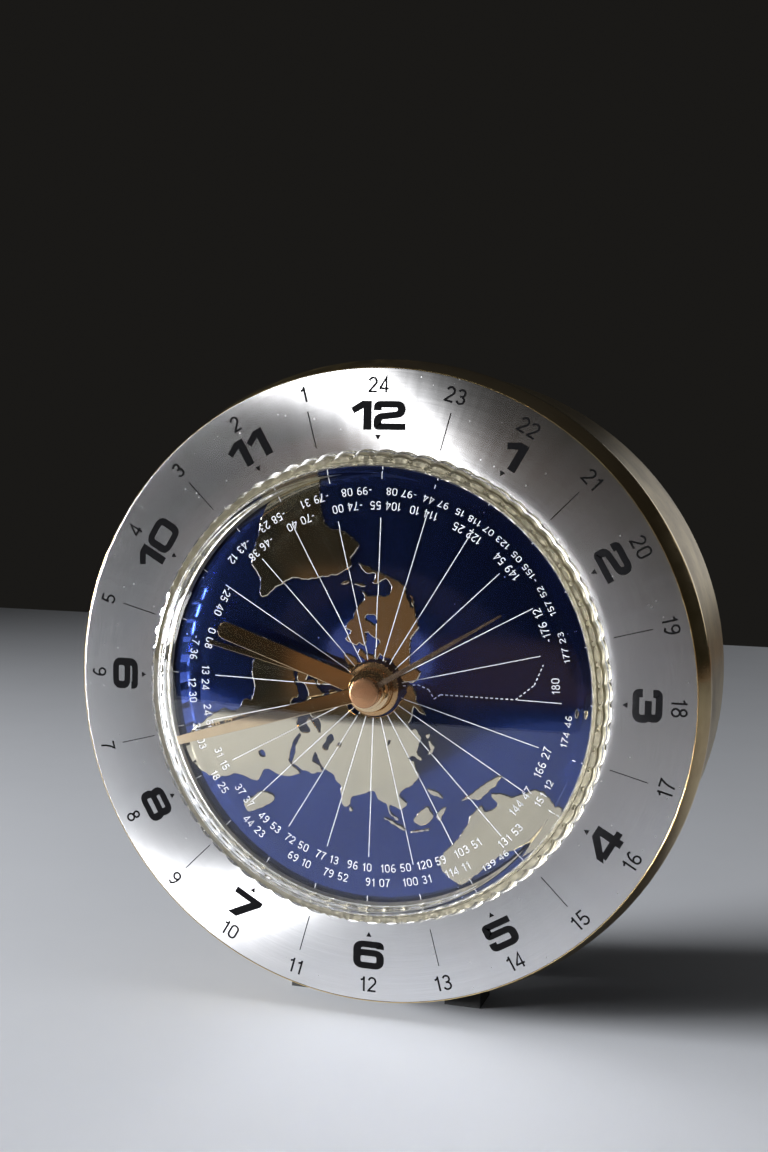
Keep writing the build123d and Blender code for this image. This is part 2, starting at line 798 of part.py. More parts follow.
# Minute hand: a narrower baton, slightly tapered to a square tip
with BuildPart() as minute_hand:
    with BuildSketch(hand_plane(minute_hand_height, minute_hand_angle)):
        with BuildLine():
            Polyline(
                (0, minute_hand_width / 2),
                (minute_hand_length, minute_tip_width / 2),
                (minute_hand_length, -minute_tip_width / 2),
                (0, -minute_hand_width / 2),
                close=True,
            )
        make_face()
    extrude(amount=hand_thickness)
    rod(centre, -second_hand_height, 0, cannon_radius + press_gap, Mode.SUBTRACT)
    boss_with_bore(minute_hand_height, minute_boss_radius, cannon_radius + press_gap)
save(minute_hand, "minute_hand")

# Second hand: a thin tapered strip under a round cap
second_cap_front = -second_hand_height - second_cap_height
with BuildPart() as second_hand:
    with BuildSketch(hand_plane(second_hand_height, second_hand_angle)):
        with BuildLine():
            Polyline(
                (0, second_hand_width / 2),
                (second_hand_length, second_tip_width / 2),
                (second_hand_length, -second_tip_width / 2),
                (0, -second_hand_width / 2),
                close=True,
            )
        make_face()
    extrude(amount=hand_thickness)
    with BuildSketch(section_at()):
        with BuildLine():
            Polyline(
                (second_cap_radius - second_cap_round, second_cap_front),
                (0, second_cap_front),
                (0, -second_hand_height),
                (second_cap_radius, -second_hand_height),
                (second_cap_radius, second_cap_front + second_cap_round),
            )
            RadiusArc(
                (second_cap_radius, second_cap_front + second_cap_round),
                (second_cap_radius - second_cap_round, second_cap_front),
                -second_cap_round,
            )
        make_face()
    revolve(axis=axis_at())
    rod(
        centre, second_cap_front + second_cap_round, overrun, arbor_radius + press_gap, Mode.SUBTRACT
    )
save(second_hand, "second_hand")

# Alarm wheel, with the tube that carries the alarm hand
alarm_module = module_for(knob_distance, alarm_teeth, alarm_pinion_teeth)
with BuildPart() as alarm_wheel:
    wheel(centre, alarm_layer, wheel_thickness, alarm_teeth, alarm_module, alarm_start)
    rod(centre, boss_front(alarm_hand_height), alarm_layer + wheel_thickness, alarm_tube_radius)
    rod(
        centre, -hour_hand_height, alarm_layer + wheel_thickness + overrun, alarm_bore, Mode.SUBTRACT
    )
save(alarm_wheel, "alarm_wheel")

# Hour wheel, with the tube that carries the hour hand
hour_module = module_for(motion_distance, motion_pinion_teeth, hour_teeth)
with BuildPart() as hour_wheel:
    wheel(centre, hour_layer, wheel_thickness, hour_teeth, hour_module, hour_start)
    rod(centre, boss_front(hour_hand_height), hour_layer + wheel_thickness, hour_tube_radius)
    rod(
        centre, -minute_hand_height, hour_layer + wheel_thickness + overrun, hour_bore, Mode.SUBTRACT
    )
save(hour_wheel, "hour_wheel")

# Cannon pinion: the minute tube, with its pinion in front of the middle plate
cannon_module = module_for(motion_distance, cannon_teeth, motion_teeth)
centre_rear = centre_layer + fine_wheel_thickness
with BuildPart() as cannon_pinion:
    wheel(centre, motion_layer, wheel_thickness, cannon_teeth, cannon_module, cannon_start)
    rod(centre, boss_front(minute_hand_height), motion_layer, cannon_radius)
    rod(centre, motion_layer, centre_rear, cannon_hub_radius)
    rod(centre, -second_hand_height, centre_rear + overrun, cannon_bore, Mode.SUBTRACT)
save(cannon_pinion, "cannon_pinion")

# Centre wheel: driven by the third pinion, it grips the cannon pinion behind the plate
centre_module = module_for(third_distance, centre_teeth, third_pinion_teeth)
with BuildPart() as centre_wheel:
    wheel(
        centre, centre_layer, fine_wheel_thickness, centre_teeth, centre_module, centre_start
    )
    rod(centre, centre_layer, centre_rear, cannon_hub_radius + press_gap, Mode.SUBTRACT)
save(centre_wheel, "centre_wheel")

# Motion wheel and pinion, turning on a stud of the middle plate
motion_module = cannon_module
with BuildPart() as motion_wheel:
    wheel(
        motion_place, motion_layer, wheel_thickness, motion_teeth, motion_module, motion_start
    )
    wheel(
        motion_place,
        hour_layer - layer_gap / 2,
        motion_layer - hour_layer + layer_gap / 2,
        motion_pinion_teeth,
        hour_module,
        motion_pinion_start,
    )
    rod(
        motion_place,
        hour_layer - layer_gap,
        mid_plate_front,
        stud_radius + running_gap,
        Mode.SUBTRACT,
    )
save(motion_wheel, "motion_wheel")

# Day idler: takes the drive from the motion pinion to the day wheel
idler_module = module_for(motion_distance, motion_pinion_teeth, idler_teeth)
with BuildPart() as day_idler:
    wheel(idler_place, idler_layer, wheel_thickness, idler_teeth, idler_module, idler_start)
    wheel(
        idler_place,
        day_layer,
        wheel_thickness,
        idler_pinion_teeth,
        day_module,
        idler_pinion_start,
    )
    rod(idler_place, front_plate_front, mid_plate_rear, pivot_radius)
    rod(idler_place, day_layer + wheel_thickness, idler_layer, stud_radius)
save(day_idler, "day_idler")

# Third wheel and its pinion
third_module = module_for(third_distance, second_pinion_teeth, third_teeth)
with BuildPart() as third_wheel:
    wheel(third_place, third_layer, fine_wheel_thickness, third_teeth, third_module, third_start)
    wheel(
        third_place,
        centre_layer - layer_gap / 2,
        third_layer - centre_layer + layer_gap / 2,
        third_pinion_teeth,
        centre_module,
        third_pinion_start,
    )
    rod(third_place, mid_plate_front, housing_rear, pivot_radius)
save(third_wheel, "third_wheel")

# Second wheel, its pinion and the arbor that runs through every tube
second_module = module_for(fifth_distance, second_teeth, fifth_pinion_teeth)
with BuildPart() as second_wheel:
    wheel(centre, second_layer, fine_wheel_thickness, second_teeth, second_module, second_start)
    wheel(
        centre,
        third_layer - layer_gap / 2,
        second_layer - third_layer + layer_gap / 2,
        second_pinion_teeth,
        third_module,
        second_pinion_start,
    )
    rod(centre, second_cap_front + second_cap_round + fit_gap, housing_rear, arbor_radius)
save(second_wheel, "second_wheel")

# Fifth wheel and its pinion
fifth_module = module_for(rotor_distance, fifth_teeth, rotor_pinion_teeth)
with BuildPart() as fifth_wheel:
    wheel(fifth_place, fifth_layer, fine_wheel_thickness, fifth_teeth, fifth_module, fifth_start)
    wheel(
        fifth_place,
        second_layer - layer_gap / 2,
        fifth_layer - second_layer + layer_gap / 2,
        fifth_pinion_teeth,
        second_module,
        fifth_pinion_start,
    )
    rod(fifth_place, fifth_layer + fine_wheel_thickness, housing_rear, pivot_radius)
save(fifth_wheel, "fifth_wheel")

# Rotor: a round magnet on an arbor with its pinion
magnet_front = mid_plate_rear + magnet_gap
magnet_rear = magnet_front + magnet_length
with BuildPart() as rotor:
    rod(rotor_place, magnet_front, magnet_rear, magnet_radius)
    wheel(
        rotor_place,
        fifth_layer,
        fine_wheel_thickness,
        rotor_pinion_teeth,
        fifth_module,
        rotor_pinion_start,
    )
    rod(rotor_place, mid_plate_front, housing_rear, pivot_radius)
save(rotor, "rotor")

# Stator: the flat iron ring around the rotor, with two arms up to the coil
stator_front = (magnet_front + magnet_rear - stator_thickness) / 2
stator_rear = stator_front + stator_thickness
coil_height = rotor_place[1] + coil_rise
with BuildPart() as stator:
    with BuildSketch(face_at(stator_rear)):
        with Locations(rotor_place):
            Rectangle(2 * stator_half_width, 2 * stator_ring_radius)
            Circle(magnet_radius + magnet_gap, mode=Mode.SUBTRACT)
        for side in (-1, 1):
            arm_x = side * (stator_half_width - stator_arm_width / 2)
            with Locations((arm_x, (rotor_place[1] + coil_height + stator_arm_width / 2) / 2)):
                Rectangle(stator_arm_width, coil_rise + stator_arm_width / 2)
            with Locations((arm_x, coil_height)):
                Circle(stud_radius + fit_gap, mode=Mode.SUBTRACT)
    extrude(amount=stator_thickness)
save(stator, "stator")

# Coil core: the iron bar across the stator's arms
core_rear = stator_rear + stator_thickness
with BuildPart() as coil_core:
    with BuildSketch(face_at(core_rear)):
        with Locations((0, coil_height)):
            Rectangle(2 * stator_half_width, stator_arm_width)
            with GridLocations(2 * stator_half_width - stator_arm_width, 0, 2, 1):
                Circle(stud_radius + fit_gap, mode=Mode.SUBTRACT)
    extrude(amount=stator_thickness)
save(coil_core, "coil_core")

# Coil: the wound bobbin on the core
core_middle = (stator_rear + core_rear) / 2
coil_plane = Plane(
    origin=(-coil_length / 2, face_y + core_middle, axis_height + coil_height),
    x_dir=(0, 0, 1),
    z_dir=(1, 0, 0),
)
with BuildPart() as coil:
    with BuildSketch(coil_plane):
        Circle(coil_radius)
    extrude(amount=coil_length)
    with BuildSketch(coil_plane, coil_plane.offset(coil_length - coil_flange_thickness)):
        Circle(coil_flange_radius)
    extrude(amount=coil_flange_thickness)
    slab(
        -stator_half_width,
        coil_height - stator_arm_width / 2 - fit_gap,
        stator_half_width,
        coil_height + stator_arm_width / 2 + fit_gap,
        stator_rear - fit_gap,
        core_rear + fit_gap,
        Mode.SUBTRACT,
    )
save(coil, "coil")


def movement_outline(front, rear, inset, mode=Mode.ADD):
    slab(
        inset - movement_half_width,
        movement_bottom + inset,
        movement_half_width - inset,
        movement_top - inset,
        front,
        rear,
        mode,
    )


# Movement front plate, with the threaded bush that the dial pan is nutted to
bush_front = hub_rear + loose_gap
with BuildPart() as movement_front_plate:
    movement_outline(front_plate_front, front_plate_rear, 0)
    rod(centre, bush_front, front_plate_front, bush_radius)
    rod(centre, bush_front - overrun, front_plate_rear + overrun, bush_bore, Mode.SUBTRACT)
    rod(idler_place, front_plate_front, front_plate_rear, pivot_radius + running_gap, Mode.SUBTRACT)
    rod(alarm_place, front_plate_front, front_plate_rear, stem_radius + running_gap, Mode.SUBTRACT)
save(movement_front_plate, "movement_front_plate")

# Bush nut: holds the movement against the pan
with BuildPart() as bush_nut:
    with BuildSketch(face_at(pan_floor_depth)):
        RegularPolygon(nut_flats / 2, 6, major_radius=False)
        Circle(bush_radius + press_gap, mode=Mode.SUBTRACT)
    extrude(amount=nut_thickness)
save(bush_nut, "bush_nut")

# Middle plate: carries the motion stud and the front pivots of the fine train
with BuildPart() as movement_mid_plate:
    movement_outline(mid_plate_front, mid_plate_rear, movement_wall + fit_gap)
    rod(motion_place, hour_layer - layer_gap / 2, mid_plate_front, stud_radius)
    rod(centre, mid_plate_front, mid_plate_rear, cannon_hub_radius + running_gap, Mode.SUBTRACT)
    for place in (idler_place, third_place, rotor_place):
        rod(place, mid_plate_front, mid_plate_rear, pivot_radius + running_gap, Mode.SUBTRACT)
    for place in (time_place, alarm_place):
        rod(place, mid_plate_front, mid_plate_rear, stem_radius + running_gap, Mode.SUBTRACT)
save(movement_mid_plate, "movement_mid_plate")

# Movement housing: the plastic box behind the wheels, with the rear bearings
with BuildPart() as movement_housing:
    movement_outline(front_plate_rear, housing_rear, 0)
    movement_outline(
        front_plate_rear - overrun, housing_wall_front, movement_wall, Mode.SUBTRACT
    )
    for x in (-1, 1):
        for y in (board_bottom + 2 * board_post_radius, board_top - 2 * board_post_radius):
            post = (x * (board_half_width - 2 * board_post_radius), y)
            rod(post, housing_rear, board_front, board_post_radius)
    for place in (third_place, fifth_place, rotor_place):
        rod(place, housing_wall_front, housing_rear, pivot_radius + running_gap, Mode.SUBTRACT)
    for place in (time_place, alarm_place):
        rod(place, housing_wall_front, housing_rear, stem_radius + running_gap, Mode.SUBTRACT)
    rod(centre, housing_wall_front, housing_rear, arbor_radius + running_gap, Mode.SUBTRACT)
save(movement_housing, "movement_housing")

# Coil screws: two small pins that hold core and stator to the middle plate
with BuildPart() as coil_screws:
    for side in (-1, 1):
        place = (side * (stator_half_width - stator_arm_width / 2), coil_height)
        rod(place, mid_plate_rear, core_rear, stud_radius)
        rod(place, core_rear, core_rear + stator_thickness, stud_head_radius)
        rod(place, mid_plate_rear, stator_front, stud_head_radius)
save(coil_screws, "coil_screws")

# Circuit board, with holes for the setting stems
board_hole = stem_radius + loose_gap
with BuildPart() as circuit_board:
    slab(-board_half_width, board_bottom, board_half_width, board_top, board_front, board_rear)
    for place in (time_place, alarm_place):
        rod(place, board_front, board_rear, board_hole, Mode.SUBTRACT)
save(circuit_board, "circuit_board")

# Quartz can, lying on the board
can_height = board_top - 3 * crystal_can_radius
can_plane = Plane(
    origin=(-board_half_width / 2, face_y + board_rear + crystal_can_radius, axis_height + can_height),
    x_dir=(0, 0, 1),
    z_dir=(1, 0, 0),
)
with BuildPart() as quartz_can:
    with BuildSketch(can_plane):
        Circle(crystal_can_radius)
    extrude(amount=crystal_can_length)
save(quartz_can, "quartz_can")

# Chip: the sealed drop of resin over the clock circuit
with BuildPart() as clock_chip:
    rod((0, 3 * chip_radius), board_rear, board_rear + chip_height, chip_radius)
save(clock_chip, "clock_chip")

# Switch body on the board, which the alarm slide works
with BuildPart() as switch_body:
    slab(
        switch_place[0] - switch_body_length / 2,
        switch_place[1] - switch_cap_width / 2,
        switch_place[0] + switch_body_length / 2,
        switch_place[1] + switch_cap_width / 2,
        board_rear,
        board_rear + switch_body_height,
    )
save(switch_body, "switch_body")

# Battery tray: the open box under the movement, with room for one big round cell
tray_half_width = cell_length / 2 + cell_nub_length / 2 + contact_space + movement_wall
tray_top = movement_bottom
tray_bottom = cell_place[1] - cell_radius - cell_gap - movement_wall
cell_left = -(cell_length + cell_nub_length) / 2
door_half_width = door_side_room - cell_left
with BuildPart() as battery_tray:
    slab(-tray_half_width, tray_bottom, tray_half_width, tray_top, tray_front_depth, tray_rear_depth)
    slab(
        movement_wall - tray_half_width,
        tray_bottom + movement_wall,
        tray_half_width - movement_wall,
        tray_top - movement_wall,
        tray_front_depth + movement_wall,
        tray_rear_depth + overrun,
        Mode.SUBTRACT,
    )
save(battery_tray, "battery_tray")

# Battery cell, lying across the tray
cell_plane = Plane(
    origin=(cell_left, face_y + cell_depth, axis_height + cell_place[1]),
    x_dir=(0, 0, 1),
    z_dir=(1, 0, 0),
)
with BuildPart() as battery_cell:
    with BuildSketch(cell_plane):
        Circle(cell_radius)
    extrude(amount=cell_length)
    with BuildSketch(cell_plane.offset(cell_length)):
        Circle(cell_nub_radius)
    extrude(amount=cell_nub_length)
save(battery_cell, "battery_cell")


def contact_strip(side):
    """A bent strip on an end wall, its spring leaf pressing on the cell."""
    wall_x = side * (tray_half_width - movement_wall)
    cell_x = -cell_left if side > 0 else cell_left
    leaf_end = cell_x + side * press_gap
    leaf_foot = wall_x - side * contact_thickness
    half = contact_height / 2
    plane = Plane(
        origin=(0, face_y + cell_depth + contact_width / 2, axis_height + cell_place[1]),
        x_dir=(1, 0, 0),
        z_dir=(0, -1, 0),
    )
    with BuildSketch(plane) as strip:
        with BuildLine():
            Polyline(
                (wall_x, -half),
                (wall_x, half),
                (leaf_foot, half),
                (leaf_foot, contact_thickness - half),
                (leaf_end + side * contact_thickness, 0),
                (leaf_end, 0),
                (leaf_foot - side * contact_thickness, -half),
                close=True,
            )
        make_face()
    extrude(strip.sketch, amount=contact_width)


with BuildPart() as battery_contact_plus:
    contact_strip(1)
save(battery_contact_plus, "battery_contact_plus")

with BuildPart() as battery_contact_minus:
    contact_strip(-1)
save(battery_contact_minus, "battery_contact_minus")

# Rear cover: a dished black cover with the door's opening, slots and holes
door_top = tray_top - door_margin
door_bottom = tray_bottom + door_margin
knob_hole = stem_radius + loose_gap
slot_half = switch_travel + switch_stem_length / 2 + loose_gap
cover_radius = drum_bore - cover_edge_gap
door_seat = dish_rear - door_thickness - door_gap / 2
buzzer_place = (0.0, buzzer_place_height)
pin_depth = door_seat + door_pin_radius
pin_height = door_bottom + door_gap + door_pin_radius
pin_start = door_half_width - door_gap
with BuildPart() as rear_cover:
    turned(
        [
            (0, dish_front),
            (cover_dish_radius + cover_thickness, dish_front),
            (cover_dish_radius + cover_thickness, drum_ledge_front),
            (drum_bore - drum_ledge_width - fit_gap, drum_ledge_front),
            (drum_bore - drum_ledge_width - fit_gap, cover_front),
            (cover_radius, cover_front),
            (cover_radius, cover_rear),
            (cover_dish_radius, cover_rear),
            (cover_dish_radius, dish_rear),
            (0, dish_rear),
        ]
    )
    slab(
        -door_half_width, door_bottom, door_half_width, door_top,
        door_seat, dish_rear + overrun, Mode.SUBTRACT,
    )
    slab(
        door_margin - door_half_width, door_bottom + 2 * door_margin,
        door_half_width - door_margin, door_top - door_margin,
        dish_front - overrun, dish_rear, Mode.SUBTRACT,
    )
    for place in (time_place, alarm_place):
        rod(place, dish_front, dish_rear, knob_hole, Mode.SUBTRACT)
    for place in pillar_places:
        rod(place, dish_front, dish_rear, screw_radius + running_gap, Mode.SUBTRACT)
    slab(
        switch_place[0] - switch_stem_length / 2 - loose_gap,
        switch_place[1] - switch_stem_width / 2 - loose_gap,
        switch_place[0] + slot_half,
        switch_place[1] + switch_stem_width / 2 + loose_gap,
        dish_front, dish_rear, Mode.SUBTRACT,
    )
    with BuildSketch(face_at(dish_rear)):
        with Locations(buzzer_place):
            with GridLocations(0, sound_slot_pitch, 1, sound_slot_count):
                SlotOverall(sound_slot_length, sound_slot_width)
    extrude(amount=cover_thickness, mode=Mode.SUBTRACT)
    pin_plane = Plane(
        origin=(-pin_start - door_pin_length, face_y + pin_depth, axis_height + pin_height),
        x_dir=(0, 0, 1),
        z_dir=(1, 0, 0),
    )
    with BuildSketch(pin_plane):
        Circle(door_pin_radius + running_gap)
    extrude(amount=2 * (pin_start + door_pin_length), mode=Mode.SUBTRACT)
save(rear_cover, "rear_cover")

# Battery door: lies flush in the cover and opens about two pins at its lower edge
with BuildPart() as battery_door:
    slab(
        door_gap - door_half_width, pin_height, door_half_width - door_gap, door_top - door_gap,
        door_seat + door_gap / 2, dish_rear,
    )
    with BuildSketch(pin_plane):
        Circle(door_pin_radius)
    extrude(amount=2 * (pin_start + door_pin_length))
    for number in range(door_grip_count):
        grip_y = door_top - door_gap - (number + 2) * door_grip_pitch
        slab(
            -door_grip_length / 2, grip_y, door_grip_length / 2, grip_y + door_grip_depth,
            dish_rear - door_grip_depth, dish_rear + overrun, Mode.SUBTRACT,
        )
save(battery_door, "battery_door")

# Cover screws: three slotted screws into the pillars
with BuildPart() as cover_screws:
    for place in pillar_places:
        rod(place, dish_front - screw_grip + fit_gap, dish_rear, screw_radius)
        rod(place, dish_rear, dish_rear + screw_head_height, screw_head_radius)
        slab(
            place[0] - screw_head_radius, place[1] - screw_slot_width / 2,
            place[0] + screw_head_radius, place[1] + screw_slot_width / 2,
            dish_rear + screw_head_height - screw_slot_depth,
            dish_rear + screw_head_height, Mode.SUBTRACT,
        )
save(cover_screws, "cover_screws")

# Setting stems: brass stems with the pinions that the knobs turn
knob_front = dish_rear + knob_clearance
stem_end = knob_front + knob_bore_depth
with BuildPart() as time_set_stem:
    rod(time_place, motion_layer - layer_gap / 4, stem_end, stem_radius)
    wheel(
        time_place, motion_layer, wheel_thickness, time_pinion_teeth, motion_module, time_start
    )
save(time_set_stem, "time_set_stem")

with BuildPart() as alarm_set_stem:
    rod(alarm_place, front_plate_front, stem_end, stem_radius)
    wheel(
        alarm_place, alarm_layer, wheel_thickness, alarm_pinion_teeth, alarm_module,
        alarm_pinion_start,
    )
save(alarm_set_stem, "alarm_set_stem")


def setting_knob(place):
    """A round knob with a scalloped grip, pressed on its stem."""
    with BuildSketch(face_at(knob_front + knob_height)) as outline:
        with Locations(place):
            Circle(knob_radius)
            with PolarLocations(knob_radius, knob_grip_count):
                Circle(knob_grip_radius, mode=Mode.SUBTRACT)
    extrude(outline.sketch, amount=knob_height)
    rod(place, knob_front, stem_end + fit_gap, stem_radius + press_gap, Mode.SUBTRACT)


with BuildPart() as time_set_knob:
    setting_knob(time_place)
save(time_set_knob, "time_set_knob")

with BuildPart() as alarm_set_knob:
    setting_knob(alarm_place)
save(alarm_set_knob, "alarm_set_knob")

# Alarm switch: a small slide on the cover, with a stem down to the switch body
with BuildPart() as alarm_switch:
    slab(
        switch_place[0] - switch_cap_length / 2, switch_place[1] - switch_cap_width / 2,
        switch_place[0] + switch_cap_length / 2, switch_place[1] + switch_cap_width / 2,
        dish_rear + fit_gap, dish_rear + fit_gap + switch_cap_height,
    )
    slab(
        switch_place[0] - switch_stem_length / 2, switch_place[1] - switch_stem_width / 2,
        switch_place[0] + switch_stem_length / 2, switch_place[1] + switch_stem_width / 2,
        board_rear + switch_body_height + loose_gap, dish_rear + fit_gap,
    )
save(alarm_switch, "alarm_switch")

# Buzzer, glued behind the sound slots
with BuildPart() as buzzer:
    rod(buzzer_place, dish_front - buzzer_height, dish_front, buzzer_radius)
save(buzzer, "buzzer")

# Rubber feet: four pads between the drum and the table
with BuildPart() as rubber_feet:
    for foot_depth in (front_foot_depth, rear_foot_depth):
        for side in (-1, 1):
            foot_x = side * drum_radius * sin(radians(foot_angle))
            slab(
                foot_x - foot_width / 2, -axis_height, foot_x + foot_width / 2, -case_radius / 2,
                foot_depth, foot_depth + foot_length,
            )
    rod(
        centre, front_foot_depth, rear_foot_depth + foot_length, drum_radius + fit_gap,
        Mode.SUBTRACT,
    )
save(rubber_feet, "rubber_feet")
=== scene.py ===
import json
import math
import random

import bmesh
import bpy
from mathutils import Matrix, Vector, noise


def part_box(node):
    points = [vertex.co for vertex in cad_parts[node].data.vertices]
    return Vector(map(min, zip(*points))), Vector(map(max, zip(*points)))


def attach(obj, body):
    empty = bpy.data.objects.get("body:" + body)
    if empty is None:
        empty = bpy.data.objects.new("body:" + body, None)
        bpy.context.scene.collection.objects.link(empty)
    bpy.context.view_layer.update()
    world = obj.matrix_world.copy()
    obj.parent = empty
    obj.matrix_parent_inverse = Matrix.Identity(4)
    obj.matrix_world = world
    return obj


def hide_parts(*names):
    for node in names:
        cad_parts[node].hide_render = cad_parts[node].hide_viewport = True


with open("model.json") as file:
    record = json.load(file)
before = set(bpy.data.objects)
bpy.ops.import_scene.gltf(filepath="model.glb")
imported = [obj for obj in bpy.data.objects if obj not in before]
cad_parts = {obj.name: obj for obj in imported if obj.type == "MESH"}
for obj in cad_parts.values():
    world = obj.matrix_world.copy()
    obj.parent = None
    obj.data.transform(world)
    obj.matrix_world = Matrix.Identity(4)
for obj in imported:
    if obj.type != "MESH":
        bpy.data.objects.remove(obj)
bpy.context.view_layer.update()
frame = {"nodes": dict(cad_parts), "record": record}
print("frame loaded,", len(frame["nodes"]), "nodes")

# Everything on the dial is drawn in millimetres in the dial's own frame: x to the right,
# y up and z towards the viewer, from the middle of the ring's front face.
mm = 0.001
ringLow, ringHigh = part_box("chapter_ring")
dialPlace = {"faceY": ringLow.y, "axisZ": (ringLow.z + ringHigh.z) / 2}
dialMiddle = Matrix.Translation((0, dialPlace["faceY"], dialPlace["axisZ"]))
toDial = dialMiddle @ Matrix.Rotation(math.radians(90), 4, "X")
turn = 2 * math.pi


def cadSize(node):
    # a round CAD piece's radius, and its front and rear along the dial's axis
    low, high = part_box(node)
    front, rear = (dialPlace["faceY"] - low.y) / mm, (dialPlace["faceY"] - high.y) / mm
    return {"radius": round(high.x / mm, 3), "front": round(front, 3), "rear": round(rear, 3)}


class Wire:
    # a value on its way through a material's nodes
    def __init__(self, paint, socket):
        self.paint = paint
        self.socket = socket

    def math(self, operation, *others, clamp=False):
        return self.paint.add("ShaderNodeMath", {"operation": operation, "use_clamp": clamp}, [self, *others])

    def __add__(self, other):
        return self.math("ADD", other)

    def __sub__(self, other):
        return self.math("SUBTRACT", other)

    def __mul__(self, other):
        return self.math("MULTIPLY", other)

    def __truediv__(self, other):
        return self.math("DIVIDE", other)

    def __pow__(self, other):
        return self.math("POWER", other)

    def __radd__(self, other):
        return self.math("ADD", other)

    def __rmul__(self, other):
        return self.math("MULTIPLY", other)

    def __rsub__(self, other):
        return self.paint.add("ShaderNodeMath", {"operation": "SUBTRACT"}, [other, self])

    def __rtruediv__(self, other):
        return self.paint.add("ShaderNodeMath", {"operation": "DIVIDE"}, [other, self])

    def above(self, edge, soft=0.0):
        # 0 below the edge and 1 above it, with a soft step
        if soft == 0:
            return self.math("GREATER_THAN", edge)
        return self.paint.add(
            "ShaderNodeMapRange",
            {"interpolation_type": "SMOOTHSTEP"},
            {"Value": self, "From Min": edge - soft, "From Max": edge + soft},
        )

    def part(self, name):
        x, y, z = (self.paint.add("ShaderNodeSeparateXYZ", {}, [self], out) for out in (0, 1, 2))
        return {"x": x, "y": y, "z": z}[name]


class Paint:
    # one material: a Principled shader and the nodes that feed it
    def __init__(self, name, **fixed):
        self.material = bpy.data.materials.new(name)
        self.material.use_nodes = True
        self.tree = self.material.node_tree
        self.shader = self.tree.nodes["Principled BSDF"]
        self.output = self.tree.nodes["Material Output"]
        self.put(**fixed)

    def put(self, **fixed):
        for name, value in fixed.items():
            socket = self.shader.inputs[name.replace("_", " ")]
            if isinstance(value, Wire):
                self.tree.links.new(value.socket, socket)
            elif isinstance(value, tuple) and len(value) == 3 and len(socket.default_value) == 4:
                socket.default_value = (*value, 1)
            else:
                socket.default_value = value

    def add(self, kind, settings, values, out=0):
        node = self.tree.nodes.new(kind)
        for name, value in settings.items():
            if name == "stops":
                ramp = node.color_ramp
                while len(ramp.elements) < len(value):
                    ramp.elements.new(0.5)
                for element, (place, colour) in zip(ramp.elements, value):
                    element.position = place
                    element.color = (*colour, 1)
            else:
                setattr(node, name, value)
        pairs = values.items() if isinstance(values, dict) else enumerate(values)
        for key, value in pairs:
            socket = node.inputs[key]
            if isinstance(value, Wire):
                self.tree.links.new(value.socket, socket)
            elif isinstance(value, tuple) and len(value) == 3 and socket.type == "RGBA":
                socket.default_value = (*value, 1)
            else:
                socket.default_value = value
        return Wire(self, node.outputs[out])

    def place(self, scale=1.0, flat=None):
        # where a point is on the object, in millimetres times a scale
        spot = self.add("ShaderNodeTexCoord", {}, {}, "Object")
        factor = flat if flat else (scale, scale, scale)
        return self.add(
            "ShaderNodeVectorMath", {"operation": "MULTIPLY"}, [spot, tuple(1000 * f for f in factor)]
        )

    def cloud(self, where, scale, detail=3.0, rough=0.5):
        return self.add(
            "ShaderNodeTexNoise", {}, {"Vector": where, "Scale": scale, "Detail": detail, "Roughness": rough}
        )

    def cells(self, where, scale, feature="F1", randomness=1.0):
        return self.add(
            "ShaderNodeTexVoronoi",
            {"feature": feature},
            {"Vector": where, "Scale": scale, "Randomness": randomness},
        )

    def vector(self, x, y, z):
        return self.add("ShaderNodeCombineXYZ", {}, [x, y, z])

    def blend(self, factor, low, high):
        return self.add(
            "ShaderNodeMix", {"data_type": "RGBA"}, {"Factor": factor, 6: low, 7: high}, 2
        )

    def bump(self, height, strength, distance, normal=None):
        values = {"Strength": strength, "Distance": distance * mm, "Height": height}
        if normal:
            values["Normal"] = normal
        return self.add("ShaderNodeBump", {}, values)

    def rounded(self, radius):
        return self.add("ShaderNodeBevel", {"samples": 4}, {"Radius": radius * mm})

    def around(self, spin=1.0, out=1.0):
        # a place that follows the angle about the dial's axis: streaks run along the radius
        spot = self.place()
        flat = self.vector(spot.part("x"), spot.part("y"), 0.0)
        radius = self.add("ShaderNodeVectorMath", {"operation": "LENGTH"}, [flat], 1)
        unit = self.add("ShaderNodeVectorMath", {"operation": "NORMALIZE"}, [flat])
        spread = self.add("ShaderNodeVectorMath", {"operation": "MULTIPLY"}, [unit, (spin, spin, spin)])
        return self.vector(spread.part("x"), spread.part("y"), radius * out)

    def along(self, spin=1.0, out=1.0):
        # a place whose detail runs round the axis: rings on a turned face or wall
        spot = self.place()
        flat = self.vector(spot.part("x"), spot.part("y"), 0.0)
        radius = self.add("ShaderNodeVectorMath", {"operation": "LENGTH"}, [flat], 1)
        unit = self.add("ShaderNodeVectorMath", {"operation": "NORMALIZE"}, [flat])
        spread = self.add("ShaderNodeVectorMath", {"operation": "MULTIPLY"}, [unit, (spin, spin, spin)])
        return self.add(
            "ShaderNodeVectorMath",
            {"operation": "ADD"},
            [spread, self.vector(radius * out, spot.part("z") * out, radius * out * 0.37)],
        )


# Shapes


